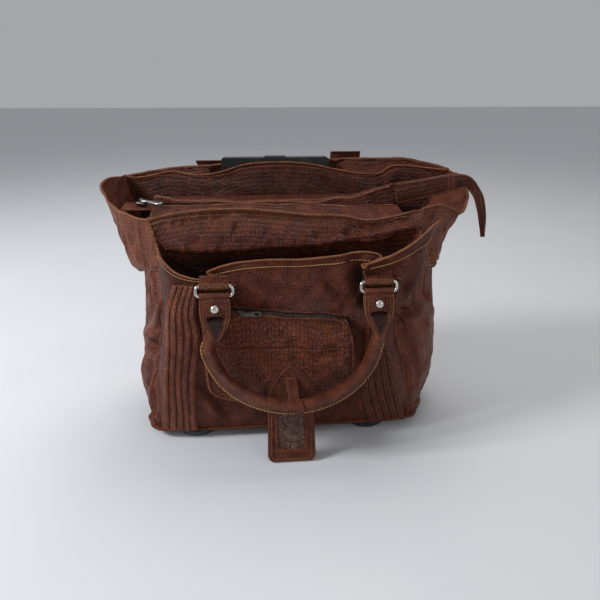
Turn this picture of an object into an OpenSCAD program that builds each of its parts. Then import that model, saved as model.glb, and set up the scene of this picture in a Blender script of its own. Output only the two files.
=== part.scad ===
// Soft rolling tote with a two-stage trolley handle, built as separate sewn, moulded and
// turned pieces. Millimetres, +X to the bag's right as it faces the viewer, +Y to the back, +Z up.

/* [Bag body] */
// Width between the front and back corner seams
seam_w = 348; // [330:2:370]
// Height of the back panel's rim above the floor
back_h = 342; // [330:1:350]
// Height of the front panel's rim above the floor
front_h = 308; // [296:1:314]
// How far the side wings' tips stand out past the corner seams
wing_out = 66; // [50:1:80]
// Thickness of the leather panels
leather_t = 3; // [2:0.5:4]
// Height of the bag's underside above the floor
base_z = 13; // [12:0.5:16]

/* [Front pocket] */
// Width of the box pocket
pocket_w = 184; // [160:2:190]
// Height of the box pocket
pocket_h = 122; // [110:2:122]
// How far the foot of the box pocket stands out
pocket_d = 22; // [18:1:22]

/* [Carry handles] */
// Distance between the two rings of a carry handle
ring_pitch = 198; // [180:2:204]
// Radius of the rolled leather
roll_r = 8.5; // [7:0.5:9]
// Drop of the rolled leather below the ring's axis
handle_drop = 153; // [140:1:155]
// Radius of the ring wire
wire_r = 2; // [1.6:0.1:2.2]

/* [Trolley] */
// Distance between the two trolley tubes
tube_pitch = 124; // [110:2:130]
// Travel of each trolley stage
stage_travel = 255; // [200:5:260]
// Outer radius of the fixed tubes
fixed_tube_r = 7.5; // [7.5:0.1:7.6]
// Width of the hand grip
grip_w = 156; // [144:2:170]

/* [Rolling gear] */
// Radius of the wheels
wheel_r = 25; // [24:0.5:26]
// Distance between the wheels' middles
wheel_track = 288; // [270:2:290]
// Radius of the wheel axles
axle_r = 3; // [2.5:0.5:3.5]

/* [Luggage tag] */
// Width of the tag
tag_w = 60; // [50:2:64]
// Length of the tag from its foot to its pointed top
tag_l = 133; // [120:1:135]

/* [Hidden] */
$fn = 64;

brown = "#6b3a2b";
dark_brown = "#54291e";
black = "#1c1c1e";
nickel = "#c9ccd0";

half_w = seam_w / 2;
wall_z = base_z + leather_t;
gap = 0.4;

// Depths, front to back
front_foot_y = -89;
front_rim_y = -63;
outer_y = -95;
back_y = 70;
board_y = 73.4;
board_t = 1.6;
cover_y = 93;
tube_y = 82.7;

function mix(a, b, t) = a + (b - a) * t;
function front_y(z) = mix(front_foot_y, front_rim_y, (z - base_z) / (front_h - base_z));

// ---- Leather sheets -------------------------------------------------------------------------

// A closed plate between two equal grids of points
module plate(face, back, turned = false) {
    n = len(face);
    m = len(face[0]);
    a = function(i, j) i * m + j;
    b = function(i, j) n * m + i * m + j;
    skin = [for (i = [0:n - 2]) for (j = [0:m - 2]) each [
        [a(i, j), a(i + 1, j), a(i + 1, j + 1)], [a(i, j), a(i + 1, j + 1), a(i, j + 1)],
        [b(i, j), b(i + 1, j + 1), b(i + 1, j)], [b(i, j), b(i, j + 1), b(i + 1, j + 1)]]];
    ends_j = [for (i = [0:n - 2]) each [
        [a(i + 1, 0), a(i, 0), b(i, 0)], [a(i + 1, 0), b(i, 0), b(i + 1, 0)],
        [a(i, m - 1), a(i + 1, m - 1), b(i + 1, m - 1)], [a(i, m - 1), b(i + 1, m - 1), b(i, m - 1)]]];
    ends_i = [for (j = [0:m - 2]) each [
        [a(0, j), a(0, j + 1), b(0, j + 1)], [a(0, j), b(0, j + 1), b(0, j)],
        [a(n - 1, j + 1), a(n - 1, j), b(n - 1, j)], [a(n - 1, j + 1), b(n - 1, j), b(n - 1, j + 1)]]];
    faces = concat(skin, ends_j, ends_i);
    polyhedron([for (r = face) each r, for (r = back) each r],
        turned ? [for (f = faces) [f[2], f[1], f[0]]] : faces);
}

// A plate of even thickness, from a grid and the step to its far side
module sheet(grid, step, turned = false)
    plate(grid, [for (r = grid) [for (p = r) p + step]], turned);

// How far a side stands out at height z: it bellies below the waist and flares above it
waist_z = 200;
waist_out = 19;
left_belly = 31;
right_belly = 50;
wing_top = (front_h + back_h) / 2 - 2;
function side_reach(z, belly) = z < waist_z
    ? mix(waist_out, belly, sin(180 * (z - base_z) / (waist_z - base_z)))
    : mix(waist_out, wing_out, (z - waist_z) / (wing_top - waist_z));
function side_point(s, z, sharp, belly) = [
    -(half_w + side_reach(z, belly) * pow(max(0, sin(180 * s)), sharp)),
    mix(front_y(z) + 12, cover_y - leather_t, s),
    z];

module side(z_low, z_high_front, z_high_back, tip, sharp_low, sharp_high, belly = left_belly) {
    cols = 16;
    rows = 10;
    top = function(s) mix(z_high_front, z_high_back, s) + tip * sin(180 * s);
    grid = [for (i = [0:cols]) [for (j = [0:rows])
        side_point(i / cols, mix(z_low, top(i / cols), j / rows), mix(sharp_low, sharp_high, j / rows),
            belly)]];
    sheet(grid, [leather_t, 0, 0], true);
}

module left_gusset() color(brown) side(wall_z, 206, 206, 0, 0.6, 1);
module right_gusset() color(brown) mirror([1, 0, 0]) side(wall_z, 206, 206, 0, 0.6, 1, right_belly);
module left_wing() color(dark_brown) side(206 + gap, front_h - 4, back_h - 4, 2, 1, 1.15);
module right_wing() color(dark_brown) mirror([1, 0, 0]) left_wing();

module front_panel() color(brown) {
    cols = 16;
    rows = 8;
    grid = [for (i = [0:cols]) let (u = 2 * i / cols - 1) [for (j = [0:rows])
        let (z = mix(wall_z, front_h, j / rows))
        [u * (half_w - 2), front_y(z) + 8 * pow(abs(u), 6), z]]];
    sheet(grid, [0, leather_t, 0]);
}

module back_panel() color(brown) difference() {
    translate([-half_w + 6, back_y, wall_z]) cube([seam_w - 12, leather_t, back_h - wall_z]);
    housing_clearance();
}

module trolley_cover() color(brown) difference() {
    cols = 12;
    grid = [for (i = [0:cols]) let (u = 2 * i / cols - 1) [for (z = [wall_z, 70, 200, back_h - 2])
        [u * (half_w - 3), cover_y - 4 * pow(abs(u), 6), z]]];
    sheet(grid, [0, -leather_t + 0.5, 0], true);
    housing_clearance();
}

// Plan outline of the bag at its foot
function foot_outline(inset) = let (steps = 12, left = [for (i = [0:steps])
    let (p = side_point(i / steps, base_z, 0.6, left_belly))
        [p[0] + inset, mix(p[1] + inset, p[1] - inset, i / steps)]])
    concat(left, [for (i = [steps:-1:0]) [-left[i][0], left[i][1]]],
        [[half_w - 20, outer_y + inset], [-half_w + 20, outer_y + inset]]);

module bottom_panel() color(dark_brown) difference() {
    translate([0, 0, base_z]) linear_extrude(leather_t) polygon(foot_outline(0));
    housing_clearance();
    foot_holes();
}

module base_board() color(black) difference() {
    translate([-half_w + 6, front_foot_y + 14, wall_z]) cube([seam_w - 12, back_y - front_foot_y - 16, 3]);
    housing_clearance();
    foot_holes();
}

module back_board() color(black) difference() {
    translate([-half_w + 14, board_y, wall_z + 1]) cube([seam_w - 28, board_t, back_h - wall_z - 20]);
    housing_clearance();
}

// The slip compartment's outer wall, curved back to the side seams at its ends
module outer_front_panel() color(brown) {
    cols = 24;
    rows = 8;
    top = function(u) 238 + 12 * pow(cos(90 * u), 2) + 44 * pow(abs(u), 7);
    grid = [for (i = [0:cols]) let (u = 2 * i / cols - 1) [for (j = [0:rows])
        let (z = mix(wall_z, top(u), j / rows), t = j / rows)
        [u * (half_w - 3) + 12 * t * (1 - u * u),
            outer_y - 4 * sin(180 * t) + mix(1, 18, t) * pow(abs(u), 8),
            z]]];
    sheet(grid, [0, leather_t, 0]);
}

// A band with raised tucks, sewn on the outer wall and narrowing upwards. Each edge is [foot, top]
module piped_band(left_edge, right_edge) {
    tucks = 5;
    cols = tucks * 4;
    rows = 8;
    band_low = wall_z + 2;
    band_high = 226;
    edge = function(u, t) [
        mix(mix(left_edge[0], left_edge[1], t), mix(right_edge[0], right_edge[1], t), (u + 1) / 2),
        outer_y - 4 * sin(180 * t * 0.9) - 0.6];
    face = [for (i = [0:cols]) let (u = 2 * i / cols - 1) [for (j = [0:rows])
        let (t = j / rows, e = edge(u, t), ridge = 1.4 * abs(sin(180 * tucks * i / cols)))
        [e[0], e[1] - 1.2 - ridge, mix(band_low, band_high, t)]]];
    back = [for (i = [0:cols]) let (u = 2 * i / cols - 1) [for (j = [0:rows])
        let (t = j / rows, e = edge(u, t)) [e[0], e[1], mix(band_low, band_high, t)]]];
    plate(face, back);
}

module left_piped_band() color(brown) piped_band([-168, -130], [-121, -98]);
module right_piped_band() color(brown) piped_band([121, 100], [170, 137]);

// ---- Box pocket and its zip -----------------------------------------------------------------

pocket_x = -4;
pocket_z = 84;
pocket_back = outer_y - 4.6;
pocket_top = pocket_z + pocket_h;
slider_l = 9;

module round_rect(w, h, r) {
    translate([r, 0]) square([w - 2 * r, h]);
    translate([0, r]) square([w, h - 2 * r]);
    for (x = [r, w - r]) for (y = [r, h - r]) translate([x, y]) circle(r);
}

// A flat outline in X and Z, pushed from y towards the viewer by depth
module facing(y, depth) translate([0, y, 0]) rotate([90, 0, 0]) linear_extrude(depth) children();

// The pocket's outer form, shallow at the top and full at the foot, inset all round by t
pocket_head_d = 3;
pocket_chest = 14;
pocket_t = 2;
module pocket_form(t) {
    low = pocket_z + t;
    high = pocket_top - t;
    intersection() {
        facing(pocket_back, pocket_d) translate([pocket_x - pocket_w / 2 + t, low])
            round_rect(pocket_w - 2 * t, high - low, 24 - t);
        translate([pocket_x - pocket_w, pocket_back, 0]) rotate([90, 0, 90]) linear_extrude(2 * pocket_w)
            polygon([[1, 0], [1, 300], [-pocket_head_d + t, pocket_top],
                [-pocket_d + t, pocket_z + pocket_chest], [-pocket_d + t, 0]]);
    }
}
module front_pocket() color(brown) difference() {
    pocket_form(0);
    translate([0, 0.01, 0]) pocket_form(pocket_t);
}

// Places children on the pocket's sloping face, at x and at a distance down from its top edge
pocket_slope = atan((pocket_d - pocket_head_d) / (pocket_h - pocket_chest));
module on_pocket(x, down) translate([x, pocket_back - pocket_head_d - down * sin(pocket_slope),
    pocket_top - down * cos(pocket_slope)]) rotate([90 - pocket_slope, 0, 0]) children();
zip_down = 9;
tape_t = 1.2;

module pocket_zip_tape() color(black) on_pocket(pocket_x, zip_down)
    translate([-62, -5, 0.02]) cube([132, 10, tape_t]);

bridge_h = 3.4;
module zip_slider(h) {
    difference() {
        translate([-slider_l / 2, -4, 0]) cube([slider_l, 8, h]);
        translate([-slider_l, -2.4, h - 1.6]) cube([2 * slider_l, 4.8, 0.8]);
    }
    for (x = [-4, 2.8]) translate([x, -1, h]) cube([1.2, 2, bridge_h]);
    translate([-4, -1, h + bridge_h]) cube([8, 2, 1]);
}

// A flat pull along +X whose crossbar turns under the slider's bridge, and whose eye clears it
module zip_pull(l, w) translate([0, 0, bridge_h / 2]) difference() {
    translate([-1, -w / 2, -0.8]) cube([l, w, 1.6]);
    translate([1, -1.7, -2]) cube([4.8, 3.4, 4]);
}

module at_pocket_slider() on_pocket(pocket_x - 46, zip_down) translate([0, 0, tape_t + gap]) children();
module pocket_zip_slider() color(nickel) at_pocket_slider() zip_slider(3);
module pocket_zip_pull() color(nickel) at_pocket_slider() translate([0, 0, 3]) zip_pull(22, 6);

// ---- Main zip -------------------------------------------------------------------------------

flap_z = 304;
flap_t = 2.5;
zip_y = 4;
flap_half = 162;
flap_front_y = front_rim_y + 11;
flap_rear_y = back_y - 4;
tape_w = 9;

module front_zip_flap() color(brown)
    translate([-flap_half, flap_front_y, flap_z]) cube([2 * flap_half, zip_y - 4 - flap_front_y, flap_t]);
module rear_zip_flap() color(brown)
    translate([-flap_half, zip_y + 4, flap_z]) cube([2 * flap_half, flap_rear_y - zip_y - 4, flap_t]);

// A woven tape under the flap's lip, with a row of teeth along its free edge
module zip_tape(side) {
    low = flap_z - 1.6;
    translate([-flap_half + 1, side > 0 ? zip_y + 1.4 : zip_y - 1.4 - tape_w, low])
        cube([2 * flap_half - 2, tape_w, 1.2]);
    for (x = [-flap_half + 6 : 12 : flap_half - 12])
        translate([x, side > 0 ? zip_y + 0.2 : zip_y - 2.2, low - 0.2]) cube([8, 2, 1.6]);
}
module front_zip_tape() color(black) zip_tape(-1);
module rear_zip_tape() color(black) zip_tape(1);

module zip_start_tab() color(dark_brown)
    translate([-half_w - 26, zip_y - 13, flap_z]) cube([37, 26, flap_t]);

main_slider = [-half_w - 4, zip_y, flap_z + flap_t + gap];
slider_turn = -35;
module at_main_slider() translate(main_slider) rotate([0, 0, slider_turn]) children();
module main_zip_slider() color(nickel) at_main_slider() zip_slider(4);
module main_zip_pull() color(nickel) at_main_slider() translate([0, 0, 4]) zip_pull(34, 8);

// The zip's far end, a strap that lies over the right wing's tip and hangs down outside
tail_w = 12;
tail_reach = 303;
module zip_tail() color(brown) {
    drop = 54;
    steps = 10;
    far = tail_reach - 3;
    path = concat([[half_w - 6, flap_z + 2], [half_w + 40, 318], [half_w + wing_out - 2, 330]],
        [for (i = [0:steps]) let (a = 90 * i / steps)
            [far - 42 + 42 * sin(a), 300 + 30 * cos(a)]],
        [[far, 300 - drop]]);
    tail_y = function(x) 24 - 16 * (far - x) / (far - half_w);
    grid = [for (p = path) [for (y = [-tail_w, 0, tail_w]) [p[0], tail_y(p[0]) + y / 2, p[1]]]];
    back = [for (p = path) [for (y = [-tail_w, 0, tail_w])
        [p[0] + 3 * max(0, (p[0] - half_w - 40) / (far - half_w - 40)),
            tail_y(p[0]) + y / 2,
            p[1] + (p[1] < 299 ? 0 : 3)]]];
    plate(grid, back);
}

// ---- Carry handles --------------------------------------------------------------------------

handle_x = 19;
front_axis = [handle_x, outer_y - 10, 234];
front_lean = 15.5;
rear_x = 6;
rear_axis = [rear_x, cover_y + 9, 336];
rear_lean = 4;
ring_h = 12;
ring_w = 44;
loop_w = 34;

// Places children, drawn hanging straight down from the X axis, at the front or the back
module at_front() translate(front_axis) rotate([-front_lean, 0, 0]) children();
module at_rear() translate(rear_axis) rotate([rear_lean, 0, 0]) children();

// Centre line of the rolled leather: two straight legs joined by a half ellipse
arch_z = -handle_drop + 90;
function roll_path(shift) = concat([[-ring_pitch / 2, 0, -38], [-ring_pitch / 2 - 3, 0, -50]],
    [for (a = [180:10:360]) [shift + (ring_pitch / 2 + 4) * cos(a), 0, arch_z + 90 * sin(a)]],
    [[ring_pitch / 2 + 3, 0, -50], [ring_pitch / 2, 0, -38]]);

// Points of a tube along a path that lies in the XZ plane
function tube_rings(path, r, sides) = [for (i = [0:len(path) - 1])
    let (a = path[max(0, i - 1)], b = path[min(len(path) - 1, i + 1)],
        t = (b - a) / norm(b - a), across = [t[2], 0, -t[0]])
    [for (k = [0:sides - 1]) let (w = 360 * k / sides)
        path[i] + r * (across * cos(w) + [0, 1, 0] * sin(w))]];

module tube(rings) {
    n = len(rings);
    m = len(rings[0]);
    wall = [for (i = [0:n - 2]) for (k = [0:m - 1]) let (q = (k + 1) % m) each [
        [i * m + k, i * m + q, (i + 1) * m + q], [i * m + k, (i + 1) * m + q, (i + 1) * m + k]]];
    caps = concat([for (k = [1:m - 2]) [0, k + 1, k]],
        [for (k = [1:m - 2]) [(n - 1) * m, (n - 1) * m + k, (n - 1) * m + k + 1]]);
    polyhedron([for (r = rings) each r], [for (f = concat(wall, caps)) [f[2], f[1], f[0]]]);
}

module handle_roll(shift) tube(tube_rings(roll_path(shift), roll_r, 12));

// The leather tab folded round the ring's lower bar, with a leaf-shaped foot
module handle_tab() {
    difference() {
        union() {
            translate([-18, -3, -34]) cube([36, 6, 22]);
            translate([0, 0, -ring_h]) rotate([0, 90, 0]) cylinder(r = wire_r + 2.6, h = 36, center = true);
            facing(-3, 3) polygon([[-18, -12], [18, -12], [18, -42], [0, -74], [-18, -42]]);
        }
        translate([0, 0, -ring_h]) rotate([0, 90, 0]) cylinder(r = wire_r + 0.1, h = 60, center = true);
    }
}
module handle_tabs() for (x = [-1, 1]) translate([x * ring_pitch / 2, 0, 0]) handle_tab();

// A wire ring with square corners and round bars
module wire_ring() {
    for (z = [0, -ring_h]) translate([0, 0, z]) rotate([0, 90, 0])
        cylinder(r = wire_r, h = ring_w, center = true);
    for (x = [-1, 1]) {
        translate([x * ring_w / 2, 0, -ring_h]) cylinder(r = wire_r, h = ring_h);
        for (z = [0, -ring_h]) translate([x * ring_w / 2, 0, z]) sphere(wire_r);
    }
}
module wire_rings() for (x = [-1, 1]) translate([x * ring_pitch / 2, 0, 0]) wire_ring();

module rivets() for (x = [-1, 1]) translate([x * ring_pitch / 2, -6, -27]) rotate([90, 0, 0]) {
    cylinder(r = 4.8, h = 1);
    translate([0, 0, 1]) cylinder(r1 = 4.8, r2 = 3.4, h = 0.7);
}

module front_handle_roll() color(brown) at_front() handle_roll(-7);
module front_handle_tabs() color(brown) at_front() handle_tabs();
module front_rings() color(nickel) at_front() wire_rings();
module front_rivets() color(nickel) at_front() rivets();

// The back handle is the front one turned about
module turned() at_rear() rotate([0, 0, 180]) children();
module rear_handle_roll() color(brown) turned() handle_roll(0);
module rear_handle_tabs() color(brown) turned() handle_tabs();
module rear_rings() color(nickel) turned() wire_rings();
module rear_rivets() color(nickel) turned() rivets();

// A leather loop round the ring's upper bar and the strap end that sews it to the panel
module ring_loop(strap_y, strap_t, up, down) {
    difference() {
        union() {
            rotate([0, 90, 0]) cylinder(r = wire_r + 3, h = loop_w, center = true);
            translate([-loop_w / 2, min(0, strap_y), -2]) cube([loop_w, abs(strap_y), 4.6]);
            translate([-loop_w / 2, strap_y - (strap_y > 0 ? strap_t : 0), -down])
                cube([loop_w, strap_t, up + down]);
        }
        rotate([0, 90, 0]) cylinder(r = wire_r + 0.35, h = loop_w + 2, center = true);
    }
}
module front_ring_loops() color(brown) for (x = [-1, 1])
    translate(front_axis + [x * ring_pitch / 2, 0, 0]) ring_loop(9, 1.6, 8, 6);
module rear_ring_loops() color(brown) for (x = [-1, 1])
    translate(rear_axis + [x * ring_pitch / 2, 0, 0]) ring_loop(-8.8, 1.6, 15, 30);

// ---- Luggage tag ----------------------------------------------------------------------------

tag_axis = [handle_x - 5, front_axis[1] - handle_drop * sin(front_lean),
    front_axis[2] - handle_drop * cos(front_lean)];
tag_foot = [8, -152.5, 3];
tag_lean = 14;
tag_t = 4;
shoulder = tag_l - 26;
window_w = 34;
window_h = 66;
window_low = 16;

// Places children, drawn upwards from the tag's foot with their front at y = 0: the tag hangs
// behind the rolled leather and leans out at its foot
module at_tag() translate(tag_foot) rotate([-tag_lean, 0, 0]) children();

module window_shape(inset) translate([-window_w / 2 + inset, window_low + inset])
    square([window_w - 2 * inset, window_h - 2 * inset]);

module tag_body() color(brown) at_tag() facing(tag_t, tag_t) difference() {
    polygon([[-tag_w / 2, 0], [tag_w / 2, 0], [tag_w / 2 - 3, shoulder - 4], [6, tag_l],
        [-6, tag_l], [-tag_w / 2 + 3, shoulder - 4]]);
    window_shape(0);
}
module tag_window() color([0.8, 0.85, 0.9, 0.4]) at_tag() facing(1.6, 0.6) window_shape(0.2);
module tag_card() color("#e8e2d6") at_tag() facing(tag_t - 0.6, 0.6) window_shape(0.2);

strap_w = 14;
strap_t = 3.4;
strap_r = roll_r + 2.6;
module tag_strap() color(brown) difference() {
    union() {
        translate(tag_axis) rotate([0, 90, 0]) cylinder(r = strap_r, h = strap_w, center = true);
        at_tag() translate([tag_axis[0] - tag_foot[0] - strap_w / 2, -strap_t, 74])
            cube([strap_w, strap_t, 40]);
    }
    translate(tag_axis) rotate([0, 90, 0]) cylinder(r = roll_r + 0.8, h = strap_w + 2, center = true);
}

// ---- Rolling gear ---------------------------------------------------------------------------

wheel_y = 68;
wheel_z = wheel_r;
wheel_w = 20;
housing_w = 46;
housing_top = 60;
housing_low = 6;
housing_front = wheel_y - wheel_r - 8;
housing_back = cover_y + 6;
head_r = axle_r + 1.6;
head_sink = 2;
foot_x = 121;
foot_y = -62;
foot_r = 34;
bottom_foot_r = 29;

module at_wheels() for (x = [-1, 1]) translate([x * wheel_track / 2, 0, 0]) children();

module housing_clearance() at_wheels()
    translate([-housing_w / 2 - gap, housing_front - gap, 0])
        cube([housing_w + 2 * gap, housing_back - housing_front + 20, housing_top + gap]);

module wheel_housing() {
    arch_w = wheel_w + 5;
    difference() {
        translate([-housing_w / 2, housing_front, housing_low])
            cube([housing_w, housing_back - housing_front, housing_top - housing_low]);
        translate([-arch_w / 2, wheel_y, wheel_z]) rotate([0, 90, 0]) cylinder(r = wheel_r + 3, h = arch_w);
        translate([-arch_w / 2, wheel_y - wheel_r - 3, -1]) cube([arch_w, 2 * wheel_r + 6, wheel_z + 1]);
        translate([-arch_w / 2, wheel_y, wheel_z - 12]) cube([arch_w, 60, 24]);
        translate([-housing_w, wheel_y, wheel_z]) rotate([0, 90, 0])
            cylinder(r = axle_r, h = 2 * housing_w);
        for (s = [-1, 1]) translate([s * housing_w / 2, wheel_y, wheel_z]) rotate([0, 90, 0])
            cylinder(r = head_r + 0.2, h = 2 * head_sink, center = true);
    }
}
module wheel_housings() color(black) at_wheels() wheel_housing();

module wheel_axles() color(nickel) at_wheels() translate([0, wheel_y, wheel_z]) rotate([0, 90, 0]) {
    cylinder(r = axle_r, h = housing_w - 2 * head_sink, center = true);
    for (s = [-1, 1]) translate([0, 0, s * (housing_w / 2 - head_sink + 0.8)])
        cylinder(r = head_r, h = 1.6, center = true);
}

module wheel_ring(r_out, r_in, w) rotate([0, 90, 0]) difference() {
    cylinder(r = r_out, h = w, center = true);
    cylinder(r = r_in, h = w + 2, center = true);
}
tyre_inner = wheel_r - 5;
module tyre() rotate([0, 90, 0]) rotate_extrude() polygon([[tyre_inner, -wheel_w / 2 + 1],
    [wheel_r - 2, -wheel_w / 2], [wheel_r, -wheel_w / 2 + 3], [wheel_r, wheel_w / 2 - 3],
    [wheel_r - 2, wheel_w / 2], [tyre_inner, wheel_w / 2 - 1]]);
module hub() {
    wheel_ring(tyre_inner, tyre_inner - 3, wheel_w - 2);
    wheel_ring(7, axle_r + 0.05, wheel_w);
    difference() {
        wheel_ring(tyre_inner - 2, 6, 5);
        for (a = [0:60:300]) rotate([a, 0, 0]) translate([0, 0, 12]) rotate([0, 90, 0])
            cylinder(r = 3, h = 12, center = true);
    }
}
module left_tyre() color(black) translate([-wheel_track / 2, wheel_y, wheel_z]) tyre();
module right_tyre() color(black) translate([wheel_track / 2, wheel_y, wheel_z]) tyre();
module left_hub() color("#3a3b3e") translate([-wheel_track / 2, wheel_y, wheel_z]) hub();
module right_hub() color("#3a3b3e") translate([wheel_track / 2, wheel_y, wheel_z]) hub();

screw_r = 2;
module at_feet() for (x = [-1, 1]) translate([x * foot_x, foot_y, 0]) children();
module foot_holes() at_feet() translate([0, 0, -1]) cylinder(r = screw_r + 0.2, h = 40);
module front_feet() color(black) at_feet() difference() {
    rotate_extrude() polygon([[0, 0], [bottom_foot_r, 0], [foot_r - 2, 2.4], [foot_r - 0.5, 6],
        [foot_r, base_z - 0.2], [0, base_z - 0.2]]);
    translate([0, 0, -1]) cylinder(r = screw_r + 0.2, h = 40);
    translate([0, 0, -1]) cylinder(r = 5, h = 4);
}
module base_screws() color(nickel) at_feet() {
    translate([0, 0, 1]) cylinder(r = 4.4, h = 2);
    translate([0, 0, 3]) cylinder(r = screw_r, h = base_z + 6);
    translate([0, 0, wall_z + 3]) cylinder(r = 3.6, h = 2.4);
}

// ---- Trolley --------------------------------------------------------------------------------

tube_low = 36;
tube_top = 326;
tube_wall = 0.8;
step_r = tube_wall + gap;
mid_r = fixed_tube_r - step_r;
inner_r = mid_r - step_r;
bezel_top = 336;
grip_low = 338;
grip_top = 356;
grip_d = 14.8;
button_w = 31;
button_d = 9;

module at_tubes() for (x = [-1, 1]) translate([x * tube_pitch / 2, tube_y, 0]) children();

module pipe(r, low, high) translate([0, 0, low]) difference() {
    cylinder(r = r, h = high - low);
    translate([0, 0, -1]) cylinder(r = r - tube_wall, h = high - low + 2);
}

module fixed_tubes() color(nickel) at_tubes() pipe(fixed_tube_r, tube_low, tube_top);
module middle_tubes() color(nickel) at_tubes() difference() {
    pipe(mid_r, tube_low + 1, tube_top + 2);
    translate([0, 0, tube_top - 16]) rotate([-90, 0, 0]) cylinder(r = 1.8, h = 20);
}
module inner_tubes() color(nickel) at_tubes() difference() {
    pipe(inner_r, tube_low + 2, grip_low + 5);
    translate([0, 0, latch_z]) rotate([-90, 0, 0]) cylinder(r = 1.9, h = 20);
}

module trolley_bezel() color(black) difference() {
    translate([-88, board_y + board_t + 0.1, tube_top - 8]) cube([176, 14, bezel_top - tube_top + 8]);
    at_tubes() translate([0, 0, tube_top - 20]) cylinder(r = fixed_tube_r + 0.05, h = 60);
    translate([-grip_w / 2 - 1, board_y, bezel_top - 5]) cube([grip_w + 2, 30, 10]);
}

module trolley_bracket() color(black) difference() {
    translate([-84, board_y + board_t + 0.1, wall_z + 3]) cube([168, 14.2, tube_low - wall_z + 10]);
    at_tubes() translate([0, 0, tube_low]) cylinder(r = fixed_tube_r + 0.05, h = 60);
}

module grip_base() color(black) difference() {
    translate([-grip_w / 2, tube_y - grip_d / 2, grip_low - 2]) cube([grip_w, grip_d, 7]);
    at_tubes() translate([0, 0, grip_low - 10]) cylinder(r = inner_r, h = 30);
}

module grip_shell() color(black) difference() {
    facing(tube_y + grip_d / 2, grip_d)
        translate([-grip_w / 2, grip_low + 5]) round_rect(grip_w, grip_top - grip_low - 5, 5);
    facing(tube_y + grip_d / 2 - 2, grip_d - 4)
        translate([-grip_w / 2 + 3, grip_low + 4]) square([grip_w - 6, grip_top - grip_low - 7]);
    translate([-button_w / 2 - gap, tube_y - button_d / 2 - gap, grip_low])
        cube([button_w + 2 * gap, button_d + 2 * gap, 40]);
}

module push_button() color("#303236") translate([-button_w / 2, tube_y - button_d / 2, yoke_z + 2.8])
    cube([button_w, button_d, grip_top + 2 - yoke_z - 2.8]);

rod_r = 1.6;
yoke_z = grip_low + 11;
latch_z = tube_low + 12;
module push_rods() color(nickel) {
    difference() {
        translate([-tube_pitch / 2 - 3, tube_y - 3.6, yoke_z]) cube([tube_pitch + 6, 7.2, 2.8]);
        at_tubes() translate([0, 0, yoke_z - 1]) cylinder(r = rod_r, h = 8);
    }
    at_tubes() translate([0, 0, latch_z + 6]) cylinder(r = rod_r, h = yoke_z + 2.8 - latch_z - 6);
}

// Return spring under the middle of the yoke
spring_low = grip_low + 5.1;
spring_high = yoke_z - 0.1;
module button_spring() color(nickel) {
    turns = 4;
    per_turn = 14;
    r = 2.8;
    wire = 0.35;
    path = [for (i = [0:turns * per_turn]) let (a = 360 * i / per_turn)
        [r * cos(a), tube_y + r * sin(a),
            mix(spring_low + wire, spring_high - wire, i / (turns * per_turn))]];
    rings = [for (i = [0:len(path) - 1]) let (a = 360 * i / per_turn)
        [for (k = [0:5]) let (w = 60 * k)
            path[i] + wire * ([cos(a), sin(a), 0] * cos(w) + [0, 0, 1] * sin(w))]];
    tube(rings);
}

module lock_plugs() color(black) at_tubes() difference() {
    translate([0, 0, latch_z - 8]) cylinder(r = inner_r - tube_wall, h = 18);
    translate([0, 0, latch_z + 3]) cylinder(r = rod_r + 0.5, h = 20);
    translate([0, 0, latch_z]) rotate([-90, 0, 0]) cylinder(r = 1.58, h = 20, center = true);
}

pin_tip = mid_r - tube_wall - 0.35;
module latch_pins() color(nickel) at_tubes()
    translate([0, pin_tip - 5.4, latch_z]) rotate([-90, 0, 0]) cylinder(r = 1.5, h = 5.4);

// ---- Frame: the middle of the whole object's box, on the floor ------------------------------

rear_back = max([for (r = tube_rings(roll_path(0), roll_r, 12)) for (p = r)
    rear_axis[1] - p[1] * cos(rear_lean) - p[2] * sin(rear_lean)]);
shift_x = -(tail_reach - half_w - wing_out) / 2;
shift_y = -(rear_back + tag_axis[1] - strap_r) / 2;
module in_frame() translate([shift_x, shift_y, 0]) children();

in_frame() front_panel();
in_frame() back_panel();
in_frame() left_gusset();
in_frame() right_gusset();
in_frame() left_wing();
in_frame() right_wing();
in_frame() bottom_panel();
in_frame() base_board();
in_frame() back_board();
in_frame() trolley_cover();
in_frame() outer_front_panel();
in_frame() left_piped_band();
in_frame() right_piped_band();
in_frame() front_pocket();
in_frame() pocket_zip_tape();
in_frame() front_ring_loops();
in_frame() rear_ring_loops();
in_frame() zip_start_tab();
in_frame() zip_tail();
in_frame() wheel_housings();
in_frame() wheel_axles();
in_frame() base_screws();
in_frame() front_feet();
in_frame() fixed_tubes();
in_frame() trolley_bezel();
in_frame() trolley_bracket();
in_frame() front_zip_flap();
in_frame() front_zip_tape();
in_frame() rear_zip_flap();
in_frame() rear_zip_tape();
in_frame() main_zip_slider();
in_frame() main_zip_pull();
in_frame() pocket_zip_slider();
in_frame() pocket_zip_pull();
in_frame() front_handle_roll();
in_frame() front_handle_tabs();
in_frame() front_rings();
in_frame() front_rivets();
in_frame() rear_handle_roll();
in_frame() rear_handle_tabs();
in_frame() rear_rings();
in_frame() rear_rivets();
in_frame() tag_body();
in_frame() tag_window();
in_frame() tag_card();
in_frame() tag_strap();
in_frame() middle_tubes();
in_frame() inner_tubes();
in_frame() grip_base();
in_frame() grip_shell();
in_frame() lock_plugs();
in_frame() push_button();
in_frame() push_rods();
in_frame() button_spring();
in_frame() latch_pins();
in_frame() left_tyre();
in_frame() left_hub();
in_frame() right_tyre();
in_frame() right_hub();
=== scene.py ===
"""Rolling tote bag in embossed faux leather: the looks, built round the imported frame.

Shapes are given in the bag's own millimetres: X to the right, Y to the back, Z up from the floor,
with X and Y counted from the middle of the bag's foot. place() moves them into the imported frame.
"""
import math

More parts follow.
